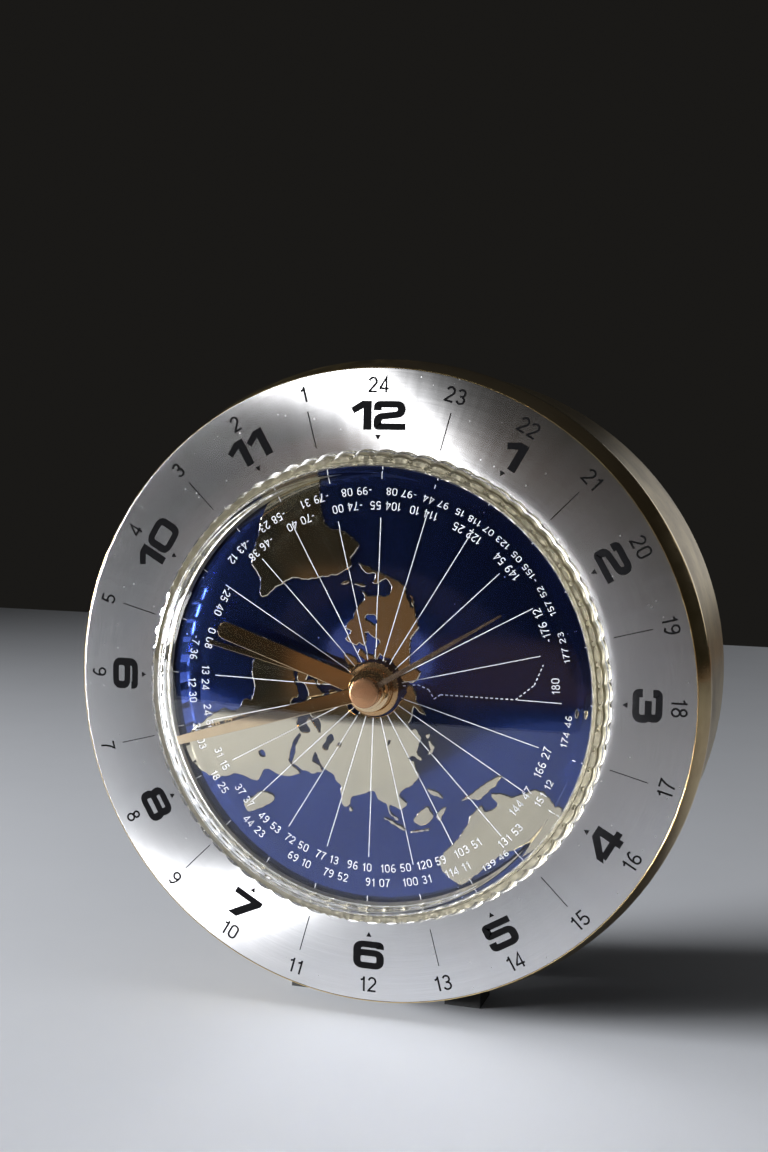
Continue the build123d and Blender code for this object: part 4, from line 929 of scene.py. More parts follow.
coasts = {
    "oldWorld": [
        (36.2, -5.6), (37, -9), (43.2, -9.2), (43.5, -1.8), (48.4, -4.6), (51, 2),
        (53.6, 8), (57.6, 9.5), (54.2, 12), (54.6, 19), (59, 23), (60.2, 29), (63, 21.5),
        (65.7, 24), (60.5, 17.5), (56, 15), (59, 10.5), (58.3, 6.5), (62.3, 5), (69, 16),
        (71, 27), (67, 41), (68.5, 55), (72.5, 70), (73.5, 84), (77.6, 104), (73, 118),
        (71.5, 132), (72, 150), (69.5, 168), (68, 184), (65.8, 190), (62.3, 179),
        (60, 168), (56, 162.5), (51.2, 157), (57, 156), (61.5, 163), (59.3, 151),
        (58, 140), (54, 137), (52.5, 141), (46, 138), (43, 132), (39.5, 127.6),
        (35.2, 129.3), (34.5, 126.5), (38, 125), (40, 121.5), (38.8, 117.8), (37, 122),
        (32, 121.6), (27, 120.3), (22.5, 114.5), (21.5, 109.5), (18.5, 106), (13, 109.2),
        (9, 105), (13, 100.3), (8, 100), (1.5, 104), (7, 99.6), (14, 97.8), (16.4, 94.5),
        (22.3, 91), (20, 86.5), (15.6, 80.6), (10.2, 79.6), (8, 77.5), (13, 74.6),
        (20.5, 72.7), (22, 69), (25, 66.5), (25.6, 58), (30, 49.5), (24.5, 51.5),
        (25.8, 56.2), (22.5, 59.8), (17, 55), (12.8, 45), (16, 42.8), (22, 38.8),
        (29.3, 34.8), (27.5, 33.8), (20, 37.2), (12.6, 43), (11.6, 51), (2, 46),
        (-5, 39.2), (-15, 40.8), (-20, 35), (-26, 33), (-30, 31), (-34, 26), (-34.8, 20),
        (-33, 18), (-26, 15), (-17, 11.8), (-9, 13.3), (-1, 9), (4.2, 9.2), (6.3, 3),
        (4.6, -2), (4.4, -7.8), (8.5, -13.3), (14.7, -17.3), (21, -17), (28, -12.5),
        (33.5, -7.6), (35, -2), (37, 10), (33, 11), (30.4, 19), (32.6, 23), (31, 30),
        (32, 34.6), (36.6, 36), (36.6, 30), (40, 26.5), (41.8, 34), (41.4, 41.5),
        (45.2, 37), (45.8, 31), (42, 28), (40.6, 23), (36.8, 22.4), (40.6, 19.4),
        (45.5, 13.8), (42, 15), (40.3, 18.3), (38, 16), (41, 13.4), (44.2, 9), (43.2, 4),
        (41, 1.4), (37, -1.2),
    ],
    "northAmerica": [
        (65.6, -168), (71.2, -156), (69.6, -140), (68, -120), (68.5, -108), (67.5, -98),
        (71.5, -94), (68, -86), (63.5, -91), (58.8, -94), (55.2, -82), (51.4, -80),
        (58.5, -78), (62.3, -75), (58.3, -68), (60.2, -64.8), (52.5, -56), (50, -64),
        (46.5, -60.5), (43.6, -65.8), (41.5, -70.3), (35.3, -75.8), (31, -81.3),
        (25.3, -80.4), (29.8, -84), (29.3, -90.5), (28, -97), (21.5, -97.4), (18.4, -94),
        (21.2, -90.2), (21.4, -87), (15.8, -88.4), (14.8, -83.5), (9.2, -80.5),
        (7.4, -80.6), (13, -88), (16, -95.5), (19.5, -105), (23.4, -106.6), (30.8, -113),
        (23.2, -109.7), (33, -117.4), (40.3, -124.3), (48, -124.4), (54.5, -130.6),
        (59.6, -140), (60.8, -147), (56.6, -158), (60, -164),
    ],
    "southAmerica": [
        (8.6, -77.2), (12.3, -71.6), (10.4, -62.5), (5.8, -54), (0.2, -50), (-2.6, -43),
        (-5.4, -35.3), (-9, -35), (-15, -39), (-22.8, -42), (-27, -48.6), (-34.5, -55),
        (-38.6, -60), (-46, -66), (-52, -69), (-50, -75), (-40, -73.7), (-30, -71.5),
        (-18.4, -70.5), (-13.8, -76.3), (-5, -81.2), (-0.5, -80.4), (3.8, -77.3),
    ],
    "australia": [
        (-12, 131), (-15, 129), (-18, 122.2), (-21.8, 114.2), (-26.5, 113.6),
        (-31.8, 115.8), (-34.8, 118), (-32, 126), (-31.6, 131.2), (-35.2, 138),
        (-38.6, 145), (-37.4, 150), (-32.6, 152.6), (-25, 153), (-19.4, 147),
        (-14.6, 144.6), (-11, 142.5), (-17, 140.8), (-15.6, 136.4), (-12.2, 136.8),
    ],
    "greenland": [
        (60, -44), (65.6, -53.5), (71, -55), (76, -66), (81.4, -62), (83.4, -34),
        (81.5, -14), (76, -19.6), (70.4, -23), (66, -36),
    ],
    "baffin": [(62, -66), (66.4, -73), (70, -90), (73.4, -84), (70.6, -68), (66.5, -61.5)],
    "victoria": [(69, -106), (71.5, -118), (73.4, -112), (72.4, -104)],
    "madagascar": [(-12.2, 49.2), (-16, 44.6), (-24, 43.8), (-25.3, 46.8), (-17, 50)],
    "newGuinea": [(-1, 131), (-4, 135), (-8.6, 138), (-10.4, 150), (-6, 148), (-2.4, 140)],
    "borneo": [(1.6, 109.4), (-3.8, 111.6), (-3.6, 116), (1, 118.6), (6.6, 116.8)],
    "sumatra": [(5.5, 95.6), (-5.6, 104.6), (-5.4, 105.8), (-0.6, 103.6), (4.6, 98)],
    "java": [(-6.4, 105.4), (-8.4, 114.4), (-7.2, 114.4), (-5.9, 107)],
    "celebes": [(1, 124.8), (-3, 122), (-5.4, 120), (-3, 119), (0.8, 120.4)],
    "philippines": [(18.5, 121), (13, 121.4), (6.4, 125.4), (9.6, 126), (16, 122.6)],
    "honshu": [(35, 132.4), (34, 136), (36, 140.6), (41.2, 141), (37, 136.8)],
    "hokkaido": [(42, 140.2), (43.2, 145.4), (45.3, 142)],
    "britain": [(50.2, -5), (51.2, 1), (54.6, -0.8), (58.4, -3.2), (55, -5)],
    "ireland": [(52, -10), (52.3, -6.4), (55, -7)],
    "iceland": [(64, -22.4), (63.6, -18), (65.6, -14), (66.2, -22)],
    "cuba": [(22.8, -83.6), (20, -77.4), (20.2, -74.6), (23.2, -81)],
    "hispaniola": [(18.2, -74), (18.4, -68.6), (19.8, -70.4), (19.8, -73)],
    "ceylon": [(9.6, 80), (6, 80.6), (7.6, 82)],
}
# Inland water, which is cut out of the land around it
waters = {
    "caspian": [(46.6, 49), (45.4, 53), (41.5, 53.4), (37, 54), (37.2, 50), (40.4, 49.8), (43.4, 47.4)],
    "aral": [(46.4, 60.5), (44, 61), (43.8, 58.6), (45.6, 58.4)],
    "baikal": [(55.6, 109.6), (52.4, 106.6), (51.6, 104.2), (53.6, 107.6)],
    "greatLakes": [(48.6, -88.5), (46.6, -85), (44, -80.6), (42, -82.6), (42.2, -87.4), (46.4, -90)],
    "victoriaLake": [(0.4, 32.2), (0.2, 34.2), (-2.6, 33.6), (-2.0, 31.8)],
}


def coastline(points, seed, hug=True):
    # a rounded coast through the points, with small bays and capes
    flat = [mapPoint(*p) for p in points]
    count = len(flat)
    done = []
    for i in range(count):
        p0, p1, p2, p3 = flat[i - 1], flat[i], flat[(i + 1) % count], flat[(i + 2) % count]
        pieces = max(2, math.ceil((p2 - p1).length / land["step"]))
        for s in range(pieces):
            t = s / pieces
            ease = 0.42
            m1, m2 = (p2 - p0) * ease, (p3 - p1) * ease
            h = (2 * t**3 - 3 * t**2 + 1, t**3 - 2 * t**2 + t, -2 * t**3 + 3 * t**2, t**3 - t**2)
            p = p1 * h[0] + m1 * h[1] + p2 * h[2] + m2 * h[3]
            push = noise.noise(Vector((p.x * 0.9, p.y * 0.9, seed))) + 0.5 * noise.noise(
                Vector((p.x * 2.1, p.y * 2.1, seed + 9))
            )
            side = Vector((p1.y - p2.y, p2.x - p1.x)).normalized()
            p = p + side * push * land["wiggle"]
            if hug:
                reach = min(max(p.length, land["hub"]), land["rim"])
                p = p * (reach / p.length)
            done.append((p.x, p.y))
    clean = []
    for p in done:
        if not clean or math.dist(p, clean[-1]) > 0.12:
            clean.append(p)
    # points where the coast would turn back on itself are left out
    for sweep in range(3):
        clean = [
            b for a, b, c in zip(clean[-1:] + clean[:-1], clean, clean[1:] + clean[:1])
            if (Vector(b) - Vector(a)).normalized().dot((Vector(c) - Vector(b)).normalized()) > -0.2
        ]
    return clean


outlines = {name: coastline(points, number) for number, (name, points) in enumerate(coasts.items())}
lakes = {name: coastline(points, 50 + number) for number, (name, points) in enumerate(waters.items())}
outlines["farIsland"] = [
    (37.9 * math.sin(math.radians(93.5)) + 0.42 * math.cos(a) * (1 + 0.2 * math.sin(2 * a)),
     37.9 * math.cos(math.radians(93.5)) + 0.85 * math.sin(a))
    for a in (turn * i / 16 for i in range(16))
]
low, high = mapDisc["set"] - 0.02, mapDisc["set"] + land["height"]
landMesh = pressedPlate("land", outlines.values(), lakes.values(), low, high, land["edge"])
finishPiece("land", landMesh, "world_map", landPaint, 9, replaces=["land_relief"])


def inside(point, outline):
    x, y = point
    hit = False
    for (x1, y1), (x2, y2) in zip(outline, outline[1:] + outline[:1]):
        if (y1 > y) != (y2 > y) and x < (x2 - x1) * (y - y1) / (y2 - y1) + x1:
            hit = not hit
    return hit


def overLand(x, y, margin=0.12):
    for dx, dy in ((margin, 0), (-margin, 0), (0, margin), (0, -margin)):
        spot = (x + dx, y + dy)
        if not any(inside(spot, outline) for outline in outlines.values()):
            return False
        if any(inside(spot, lake) for lake in lakes.values()):
            return False
    return True


def mapStroke(shape, start, end, width):
    # a straight printed line: on the sea, and again on any land that it crosses
    start, end = Vector(start), Vector(end)
    sea = mapDisc["set"]
    crest = sea + land["height"]
    shape.stroke([start, end], width, sea - 0.02, sea + lines["ink"])
    steps = max(2, int((end - start).length / 0.12))
    run = None
    for s in range(steps + 1):
        p = start.lerp(end, s / steps)
        onLand = overLand(p.x, p.y)
        if onLand and run is None:
            run = p
        if run is not None and (not onLand or s == steps):
            if (p - run).length > 0.25:
                shape.stroke([run, p], width, crest - 0.02, crest + lines["ink"])
            run = None


def dialSpot(radius, angle):
    a = math.radians(angle)
    return (radius * math.sin(a), radius * math.cos(a))


# How far out each of the twenty-four lines runs before its figures begin
lineEnds = [31.2, 33.6, 34.6, 31.6, 33.0, 31.4, 34.2, 31.8, 33.4, 35.0, 32.0, 33.0,
            31.4, 31.4, 31.6, 33.2, 31.6, 33.8, 31.4, 32.4, 34.4, 31.8, 33.8, 31.2]
shape = Shape()
for number, end in enumerate(lineEnds):
    angle = number * 15 + 1.05
    if number != 6:
        mapStroke(shape, dialSpot(lines["start"], angle), dialSpot(end, angle), lines["width"])
    mapStroke(shape, dialSpot(lines["rimIn"], angle), dialSpot(lines["rimOut"], angle), lines["width"])
makePiece("meridian_lines", shape, "world_map", whiteInk, 20, weld=False)

# The date line: dashes along the opposite meridian, with its two jogs
dateLine = {"dash": 0.5, "gap": 0.42, "width": 0.2}
dateTurns = [
    (5.4, 82), (8.2, 82), (10.2, 88), (11.3, 96.5), (12.4, 92), (26.2, 91.05), (29.6, 85.5), (31.6, 79.0),
]
datePath = [dialSpot(*spot) for spot in dateTurns]
shape = Shape()
for (x1, y1), (x2, y2) in zip(datePath, datePath[1:]):
    length = math.dist((x1, y1), (x2, y2))
    spot = 0.0
    while spot < length:
        a, b = spot / length, min(1.0, (spot + dateLine["dash"]) / length)
        start = (x1 + (x2 - x1) * a, y1 + (y2 - y1) * a)
        end = (x1 + (x2 - x1) * b, y1 + (y2 - y1) * b)
        mapStroke(shape, start, end, dateLine["width"])
        spot += dateLine["dash"] + dateLine["gap"]
mapStroke(shape, dialSpot(26.4, 91.05), dialSpot(34.5, 91.05), lines["width"])
makePiece("date_line", shape, "world_map", whiteInk, 20, weld=False)

# Plain figures for places: longitudes in degrees and minutes, in rows under their meridians
labels = {"height": 1.52, "pen": 0.18, "rows": (33.4, 36.1, 38.3)}
placeFigures = [
    (2.5, 0, "104 55"), (17.5, 1, "97 44"), (15, 0, "114 10"), (28, 1, "118 15"), (30, 0, "122 25"),
    (38, 1, "123 07"), (46, 0, "149 54"), (61, 1, "157 52"), (75, 1, "177 23"), (86, 0, "180"),
    (99, 1, "174 46"), (110, 0, "166 27"), (118, 1, "151 12"), (124, 0, "144 47"),
    (134, 1, "131 53"), (142, 2, "139 46"), (147, 0, "103 51"), (153, 1, "114 11"),
    (160, 0, "120 59"), (166, 1, "100 31"), (172, 0, "106 50"), (178, 1, "91 07"),
    (184, 0, "96 10"), (191, 1, "79 52"), (195, 0, "77 13"), (203, 1, "69 10"), (206, 0, "72 50"),
    (217, 0, "49 53"), (220, 1, "44 23"), (229, 0, "37 37"), (237, 1, "18 25"), (243, 0, "31 15"),
    (252, 1, "28 03"), (257, 0, "24 56"), (266, 1, "12 30"), (270, 0, "13 24"), (279, 1, "-7 36"),
    (283, 0, "0 08"), (296, 0, "-25 40"), (312, 1, "-43 12"), (318, 0, "-46 38"),
    (326, 1, "-58 23"), (334, 0, "-70 40"), (340.5, 1, "-79 31"), (350, 0, "-74 00"),
    (353.5, 1, "-99 08"), (7, 1, "-97 08"), (49.5, 1, "-155 05"), (67, 0, "-176 12"),
]


def figuresOnMap(text, angle, radius, shapes):
    # one figure at a time, bent round the map with its top towards the middle
    height, pen = labels["height"], labels["pen"]
    widths = [(fineFigures[c][0] + 0.14) * height for c in text]
    along = -sum(widths) / 2
    for c, width in zip(text, widths):
        bend = math.degrees((along + width / 2) / radius)
        spot = angle - bend
        place = onRing(spot, radius, True)
        middle = place((0, 0))
        sea = mapDisc["set"]
        level = sea + land["height"] if overLand(*middle, 0.75) else None
        corners = [place((u, v)) for u in (-0.6, 0, 0.6) for v in (-0.7, 0, 0.7)]
        near = level or any(overLand(*corner, 0.02) for corner in corners)
        low = (level or sea) - 0.02 if not near or level else sea - 0.02
        high = (sea + land["height"] if near else sea) + lines["ink"]
        fineNumber(shapes, c, place, height, pen, low, high)
        along += width


shape = Shape()
for angle, row, text in placeFigures:
    figuresOnMap(text, angle, labels["rows"][row], shape)
makePiece("place_figures", shape, "world_map", whiteInk, 20, weld=False)
print("map made:", len(outlines), "lands,", len(placeFigures), "place figures")


# Centre and hands

collar = {"radius": 4.9, "front": 0.5, "bore": 2.02}
shape = Shape()
shape.lathe(
    roundCorners(
        [
            (collar["bore"], 0.45), (3.5, 0.45), (3.62, 0.2), (3.9, 0.2), (4.02, collar["front"]),
            (collar["radius"], 0.12), (collar["radius"], -1.5), (collar["bore"], -1.5),
        ],
        [0.05, 0.1, 0.1, 0.1, 0.12, 0.2, 0, 0],
        steps=3,
    ),
    128,
)
makePiece("map_boss", shape, "world_map", collarPaint, 30, replaces=["map_collar"])


def handOutline(kind, length, width, tip):
    if kind == "baton":
        tipEnd = arcPoints(length, 0, width / 2, width / 2, -90, 90, 16)
        return [(0, -width / 2)] + tipEnd + [(0, width / 2)]
    if kind == "pointed":
        neck = length - width / 2
        return [(0, -width / 2), (neck, -width / 2), (length, 0), (neck, width / 2), (0, width / 2)]
    corners = [(0, -width / 2), (length, -tip / 2), (length, tip / 2), (0, width / 2)]
    return roundCorners(corners, [0, 0.15, 0.15, 0])


def ringOutline(radius, count=64):
    return [(radius * math.cos(turn * i / count), radius * math.sin(turn * i / count)) for i in range(count)]


def bossAndBlade(outline, boss, bore):
    # the outer edge of a hand: its blade runs into the round boss
    points = ringOutline(boss, 96)
    keep = [p for p in points if not (p[0] > 0 and abs(p[1]) < abs(outline[0][1]))]
    start = max(range(len(keep)), key=lambda i: math.dist(keep[i], keep[i - 1]))
    return keep[start:] + keep[:start] + [p for p in outline if p[0] > boss * 0.6], ringOutline(bore, 48)


hands = {
    "alarm_pointer": {
        "kind": "pointed", "length": 32.5, "width": 0.9, "tip": 0, "height": 1.0,
        "angle": 283.0, "boss": 3.4, "bore": 2.0, "body": "alarm_train",
        "node": "alarm_hand", "edge": 0.06,
    },
    "hour_baton": {
        "kind": "baton", "length": 29.4, "width": 3.3, "tip": 0, "height": 2.0,
        "angle": 288.9, "boss": 3.8, "bore": 1.52, "body": "hour_train",
        "node": "hour_hand", "edge": 0.12,
    },
    "minute_baton": {
        "kind": "square", "length": 38.8, "width": 2.5, "tip": 1.7, "height": 3.1,
        "angle": 252.8, "boss": 3.1, "bore": 1.02, "body": "minute_train",
        "node": "minute_hand", "edge": 0.1,
    },
    "second_pointer": {
        "kind": "square", "length": 28.7, "width": 1.0, "tip": 0.4, "height": 4.15,
        "angle": 58.4, "boss": 1.6, "bore": 0.4, "body": "second_train",
        "node": "second_hand", "edge": 0.08,
    },
}
thickness = {"blade": 0.35, "boss": 0.7}
for name, hand in hands.items():
    place = toDial @ Matrix.Rotation(math.radians(90 - hand["angle"]), 4, "Z")
    blade = handOutline(hand["kind"], hand["length"], hand["width"], hand["tip"])
    outer, inner = bossAndBlade(blade, hand["boss"], hand["bore"])
    low, high = hand["height"], hand["height"] + thickness["blade"]
    mesh = pressedPlate(name, [outer], [inner], low, high, hand["edge"])
    # the second hand takes the gold with the painted shade
    paint = secondHandShadedGold if name == "second_pointer" else handPaint
    finishPiece(name, mesh, hand["body"], paint, 9, place, [hand["node"]])
    if name != "second_pointer":
        middle = hand["height"] + thickness["blade"] / 2
        half = thickness["boss"] / 2
        shape = Shape()
        shape.lathe(
            roundCorners(
                [(hand["bore"], middle - half), (hand["boss"], middle - half), (hand["boss"], middle + half),
                 (hand["bore"], middle + half)],
                0.12,
                steps=3,
            ),
            96,
        )
        makePiece(name + "_boss", shape, hand["body"], handPaint, 30, replaces=[hand["node"]])

cap = {"radius": 2.7, "low": 4.15, "high": 5.6, "round": 0.4}
shape = Shape()
shape.lathe(
    roundCorners(
        [(0.0, cap["low"]), (cap["radius"], cap["low"]), (cap["radius"], cap["high"]), (0.0, cap["high"])],
        [0, 0.15, cap["round"], 0],
    ),
    96,
)
makePiece("second_cap", shape, "second_train", capPaint, 30, replaces=["second_hand"])
print("hands made")


# Crystal

cad = cadSize("crystal")
crystal = {
    "foot": cad["radius"] - 0.08,
    "footValley": cad["radius"] - 0.5,
    "top": 42.35,
    "topValley": 41.93,
    "spigot": 41.9,
    "count": 72,
    "perFlute": 12,
    "wallTop": 4.2,
    "shoulder": 39.6,
    "shoulderUp": 6.1,
    "crown": cad["front"],
    "wall": 1.6,
    "seatUp": 0.55,
}


def dome(edgeRadius, edgeHeight, top, steps):
    rise = top - edgeHeight
    ball = (edgeRadius**2 + rise**2) / (2 * rise)
    return [
        (edgeRadius * (1 - i / steps), top - ball + math.sqrt(ball**2 - (edgeRadius * (1 - i / steps)) ** 2))
        for i in range(steps + 1)
    ]


def fluted(r, z, angle):
    # each flute is a convex lobe between two sharp valleys, and fades where the wall turns in
    if z < 0.01 or r < crystal["shoulder"] + 0.2:
        return r
    up = min(1.0, z / crystal["wallTop"])
    peak = crystal["foot"] + (crystal["top"] - crystal["foot"]) * up
    valley = crystal["footValley"] + (crystal["topValley"] - crystal["footValley"]) * up
    share = (angle * crystal["count"] / turn) % 1.0
    lobe = valley + (peak - valley) * (1 - (2 * share - 1) ** 2)
    soft = 0.04
    return -soft * math.log(math.exp((lobe - r) / soft) + 1) + lobe


foot = [(crystal["spigot"], -0.8), (crystal["spigot"], -0.02), (crystal["foot"] - 0.25, 0.02)]
rise, lean = crystal["wallTop"] - 0.05, crystal["top"] - crystal["foot"]
wall = [(crystal["foot"] + 0.1 + lean * i / 12, 0.05 + rise * i / 12) for i in range(13)]
slope = roundCorners(
    [
        wall[-1],
        (crystal["top"] - 0.9, crystal["wallTop"] + 0.45),
        (crystal["shoulder"], crystal["shoulderUp"]),
        (crystal["shoulder"] - 2.0, crystal["shoulderUp"] + 0.16),
    ],
    [0, 0.3, 0.4, 0], False, 6,
)
crown = [p for p in dome(crystal["shoulder"], crystal["shoulderUp"], crystal["crown"], 26)
         if p[0] < crystal["shoulder"] - 2.1]
innerEdge = (crystal["shoulder"] - crystal["wall"], crystal["shoulderUp"] - crystal["wall"])
bottomEdge = crystal["spigot"] - crystal["wall"]
ceiling = dome(*innerEdge, crystal["crown"] - crystal["wall"], 26)
inner = list(reversed(ceiling)) + roundCorners(
    [innerEdge, (bottomEdge, 3.3), (bottomEdge, crystal["seatUp"])], [0, 0.5, 0], False, 6
)[1:] + [(bottomEdge, -0.8)]
shape = Shape()
shape.lathe(foot + wall + slope[1:] + crown + inner, crystal["count"] * crystal["perFlute"], fluted)
glass = makePiece("fluted_crystal", shape, "case", crystalPaint, 32, replaces=["crystal"])
# the foot's inner lower faces take the painted reflection
glass.data.materials.append(seatGlintPaint.material)
for face in glass.data.polygons:
    low = max(glass.data.vertices[v].co.z for v in face.vertices) < (crystal["seatUp"] + 0.01) * mm
    outwards = math.hypot(face.center.x, face.center.y) > (crystal["foot"] - 0.3) * mm
    if low and not outwards:
        face.material_index = 1
glass.visible_shadow = False  # light reaches the map straight through the clear cap
print("crystal made,", len(shape.faces), "faces")


# Back

# The back is drawn as seen from behind: x to the right there, y up, z towards that viewer
toBack = dialMiddle @ Matrix(((-1, 0, 0, 0), (0, 0, 1, 0), (0, 1, 0, 0), (0, 0, 0, 1)))
back = {"dish": 39.4, "raise": 0.25}
knobLow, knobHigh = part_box("time_set_knob")
knob = {
    "x": round(-(knobLow.x + knobHigh.x) / 2 / mm, 3),
    "y": round(((knobLow.z + knobHigh.z) / 2 - dialPlace["axisZ"]) / mm, 3),
    "radius": round((knobHigh.x - knobLow.x) / 2 / mm - 0.008, 3),
    "front": round((knobLow.y - dialPlace["faceY"]) / mm, 3),
    "height": round((knobHigh.y - knobLow.y) / mm, 3),
    "ribs": 48,
    "dish": 0.45,
}


def makeKnob(name, body, node, x):
    place = toBack @ Matrix.Translation((x * mm, knob["y"] * mm, 0))
    low, high = knob["front"], knob["front"] + knob["height"]

    def ribbed(r, z, angle):
        if r < knob["radius"] - 0.6 or z > high - 0.25:
            return r
        return r - 0.2 + 0.2 * abs(math.cos(angle * knob["ribs"] / 2)) ** 0.6

    profile = roundCorners(
        [(0.0, low), (knob["radius"] - 0.25, low), (knob["radius"], low + 0.3), (knob["radius"], high - 0.5),
         (knob["radius"] - 0.6, high), (5.2, high), (4.9, high - knob["dish"]), (0.0, high - knob["dish"])],
        [0, 0.1, 0.1, 0.3, 0.35, 0.2, 0.2, 0],
        steps=4,
    )
    shape = Shape()
    shape.lathe(profile, knob["ribs"] * 8, ribbed)
    makePiece(name, shape, body, slotPaints["black_plastic"], 35, place, [node])
    # a raised curved arrow in the knob's face
    shape = Shape()
    floor = high - knob["dish"]
    shape.stroke(arcPoints(0, 0, 3.2, 3.2, 150, 35, 20), 0.55, floor - 0.05, floor + back["raise"])
    tip = arcPoints(0, 0, 3.2, 3.2, 35, 35, 1)[0]
    shape.slab(
        [(tip[0] - 0.85, tip[1] + 0.65), (tip[0] + 0.75, tip[1] - 1.35), (tip[0] + 1.0, tip[1] + 0.75)],
        floor - 0.05, floor + back["raise"],
    )
    plastic = slotPaints["black_plastic"]
    makePiece(name + "_arrow", shape, body, plastic, 20, place, weld=False)


makeKnob("time_knob_cap", "time_knob", "time_set_knob", knob["x"])
makeKnob("alarm_knob_cap", "alarm_knob", "alarm_set_knob", -knob["x"])

# Raised marks on the cover: a ring round each knob, marks for the slide, and the sound slots' frame
shape = Shape()
low, high = back["dish"] - 0.05, back["dish"] + back["raise"]
for x in (-knob["x"], knob["x"]):
    for start in (200, 290):
        shape.stroke(arcPoints(x, knob["y"], 8.6, 8.6, start, start + 50, 16), 0.4, low, high)
shape.stroke(roundCorners([(-7.6, 18.2), (7.6, 18.2), (7.6, 32.8), (-7.6, 32.8)], 1.6), 0.5, low, high, True)
shape.stroke(arcPoints(-11.4, -4.0, 0.9, 0.9, 0, 360, 20)[:-1], 0.35, low, high - 0.05, True)
shape.slab(arcPoints(11.4, -4.0, 0.9, 0.9, 0, 360, 20)[:-1], low, high - 0.05)
shape.lathe([(50.6, low), (51.1, low), (51.1, high + 0.05), (50.6, high + 0.05)], 180)
makePiece("cover_marks", shape, "case", slotPaints["black_plastic"], 30, toBack, weld=False)
print("back dressed")


# Stage, light and camera

studio = {"floor": 1.7, "frontEdge": -0.31, "rearEdge": 0.60, "floorTone": (0.70, 0.72, 0.76),
          "backdrop": (0.0102, 0.0096, 0.0086)}
floorPaint = Paint("pale_table", Specular_IOR_Level=0.35)
spot = floorPaint.place()
haze = floorPaint.cloud(spot, 0.012, 5.0, 0.6)
specks = floorPaint.cloud(spot, 0.6, 3.0, 0.6)
floorPaint.put(
    Base_Color=floorPaint.blend(haze, studio["floorTone"], tuple(c * 0.88 for c in studio["floorTone"])),
    Roughness=0.5 + haze * 0.1,
    Normal=floorPaint.bump(specks, 0.08, 0.05),
)
shape = Shape()
half = studio["floor"] * 500
front, rear = studio["frontEdge"] * 1000, studio["rearEdge"] * 1000
shape.slab([(-half, front), (half, front), (half, rear), (-half, rear)], -20, 0)
mesh = bpy.data.meshes.new("table_top")
mesh.from_pydata([Vector(v) * mm for v in shape.verts], [], shape.faces)
mesh.materials.append(floorPaint.material)
table = bpy.data.objects.new("table_top", mesh)
bpy.context.scene.collection.objects.link(table)

world = bpy.data.worlds.new("studio")
bpy.context.scene.world = world
world.use_nodes = True
sky = world.node_tree
ramp = sky.nodes.new("ShaderNodeValToRGB")
where = sky.nodes.new("ShaderNodeTexCoord")
split = sky.nodes.new("ShaderNodeSeparateXYZ")
lift = sky.nodes.new("ShaderNodeMapRange")
sky.links.new(where.outputs["Generated"], split.inputs[0])
sky.links.new(split.outputs[2], lift.inputs["Value"])
lift.inputs["From Min"].default_value = -0.3
lift.inputs["From Max"].default_value = 1.0
sky.links.new(lift.outputs[0], ramp.inputs[0])
stops = [(0.0, (0.030, 0.030, 0.027)), (0.098, (0.030, 0.030, 0.024)), (0.118, (0.15, 0.085, 0.045)),
         (0.166, (0.14, 0.083, 0.046)), (0.180, (0.012, 0.012, 0.009)), (0.5, (0.010, 0.0095, 0.009)),
         (1.0, (0.030, 0.031, 0.034))]
while len(ramp.color_ramp.elements) < len(stops):
    ramp.color_ramp.elements.new(0.5)
for element, (spotAt, colour) in zip(ramp.color_ramp.elements, stops):
    element.position = spotAt
    element.color = (*colour, 1)
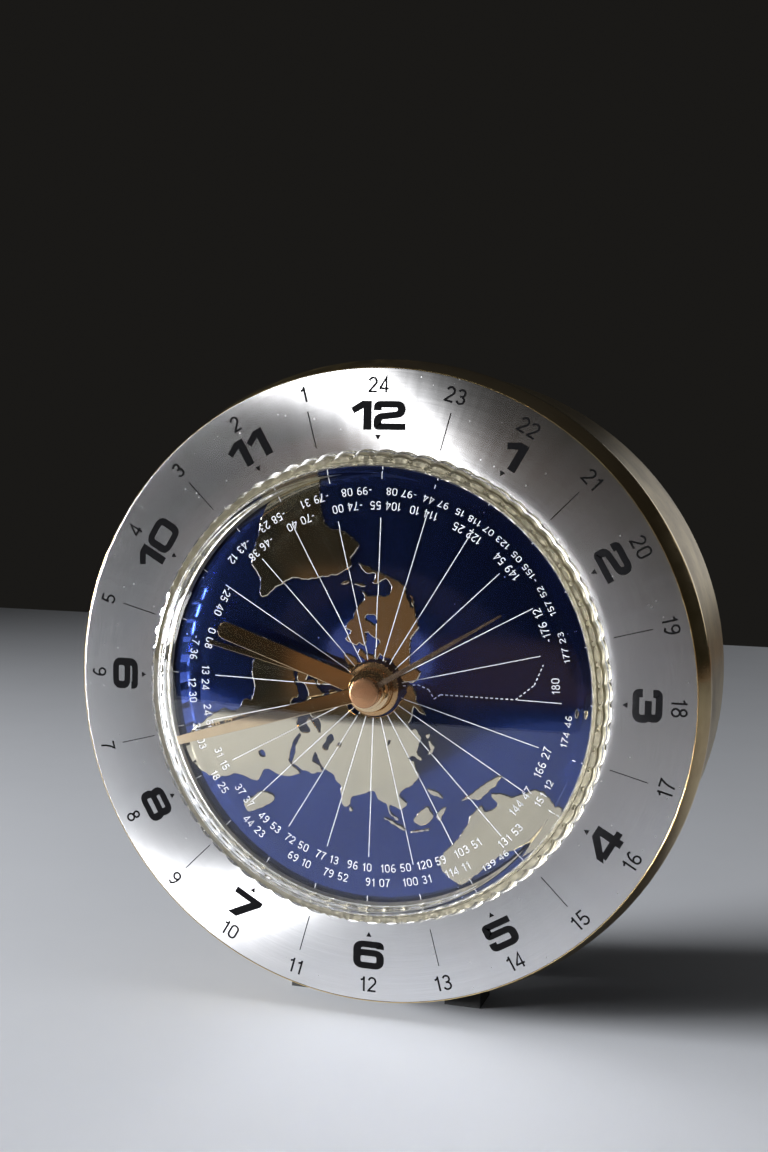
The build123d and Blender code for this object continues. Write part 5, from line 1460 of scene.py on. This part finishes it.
# The warm glow low in front stops short on the left, where the room is dark
stop = sky.nodes.new("ShaderNodeMapRange")
sky.links.new(split.outputs[0], stop.inputs["Value"])
stop.inputs["From Min"].default_value = -0.348
stop.inputs["From Max"].default_value = -0.333
side = sky.nodes.new("ShaderNodeMix")
side.data_type = "RGBA"
side.inputs[6].default_value = (0.016, 0.015, 0.011, 1)
sky.links.new(stop.outputs[0], side.inputs["Factor"])
sky.links.new(ramp.outputs[0], side.inputs[7])
ray = sky.nodes.new("ShaderNodeLightPath")
seen = sky.nodes.new("ShaderNodeMix")
seen.data_type = "RGBA"
seen.inputs[7].default_value = (*studio["backdrop"], 1)
sky.links.new(ray.outputs["Is Camera Ray"], seen.inputs["Factor"])
sky.links.new(side.outputs[2], seen.inputs[6])
sky.links.new(seen.outputs[2], sky.nodes["Background"].inputs["Color"])

lamps = {
    "windowLeft": {"at": (-1.1, -0.43, 0.135), "aim": (0.05, -0.17, 0.03), "size": (0.5, 0.2), "power": 19.0,
                   "colour": (0.97, 0.98, 1.0), "spread": 84},
    "frontPool": {"at": (-0.42, -0.42, 0.42), "aim": (0.02, -0.16, 0.0), "size": (0.26, 0.26), "power": 0.05,
                  "colour": (0.97, 0.98, 1.0)},
    "overhead": {"at": (0.15, 0.1, 0.9), "aim": (0, -0.05, 0.0), "size": (0.5, 0.5), "power": 0.05,
                 "colour": (1.0, 0.98, 0.95)},
    "rearFill": {"at": (0.30, 1.0, 0.20), "aim": (0, 0.02, 0.06), "size": (0.5, 0.3), "power": 0.32,
                 "colour": (0.98, 0.99, 1.0)},
}
for name, lamp in lamps.items():
    light = bpy.data.lights.new(name, "AREA")
    light.shape = "RECTANGLE"
    light.size, light.size_y = lamp["size"]
    light.energy = lamp["power"]
    light.color = lamp["colour"]
    light.spread = math.radians(lamp.get("spread", 180))
    holder = bpy.data.objects.new(name, light)
    holder.location = lamp["at"]
    holder.rotation_mode = "QUATERNION"
    holder.rotation_quaternion = (Vector(lamp["aim"]) - Vector(lamp["at"])).to_track_quat("-Z", "Y")
    bpy.context.scene.collection.objects.link(holder)

view = {
    "at": (0.0799085, -0.2815077, 0.1036931),
    "turn": (0.7257331, 0.6725899, 0.0913622, 0.1121930),
    "lens": 47.6993,
}
camera = bpy.data.cameras.new("photographCamera")
camera.lens = view["lens"]
camera.sensor_width = 36
camera.clip_start, camera.clip_end = 0.01, 20
holder = bpy.data.objects.new("photographCamera", camera)
holder.location = view["at"]
holder.rotation_mode = "QUATERNION"
holder.rotation_quaternion = view["turn"]
bpy.context.scene.collection.objects.link(holder)
bpy.context.scene.camera = holder
bpy.context.scene.view_settings.view_transform = "Standard"
print("stage set")
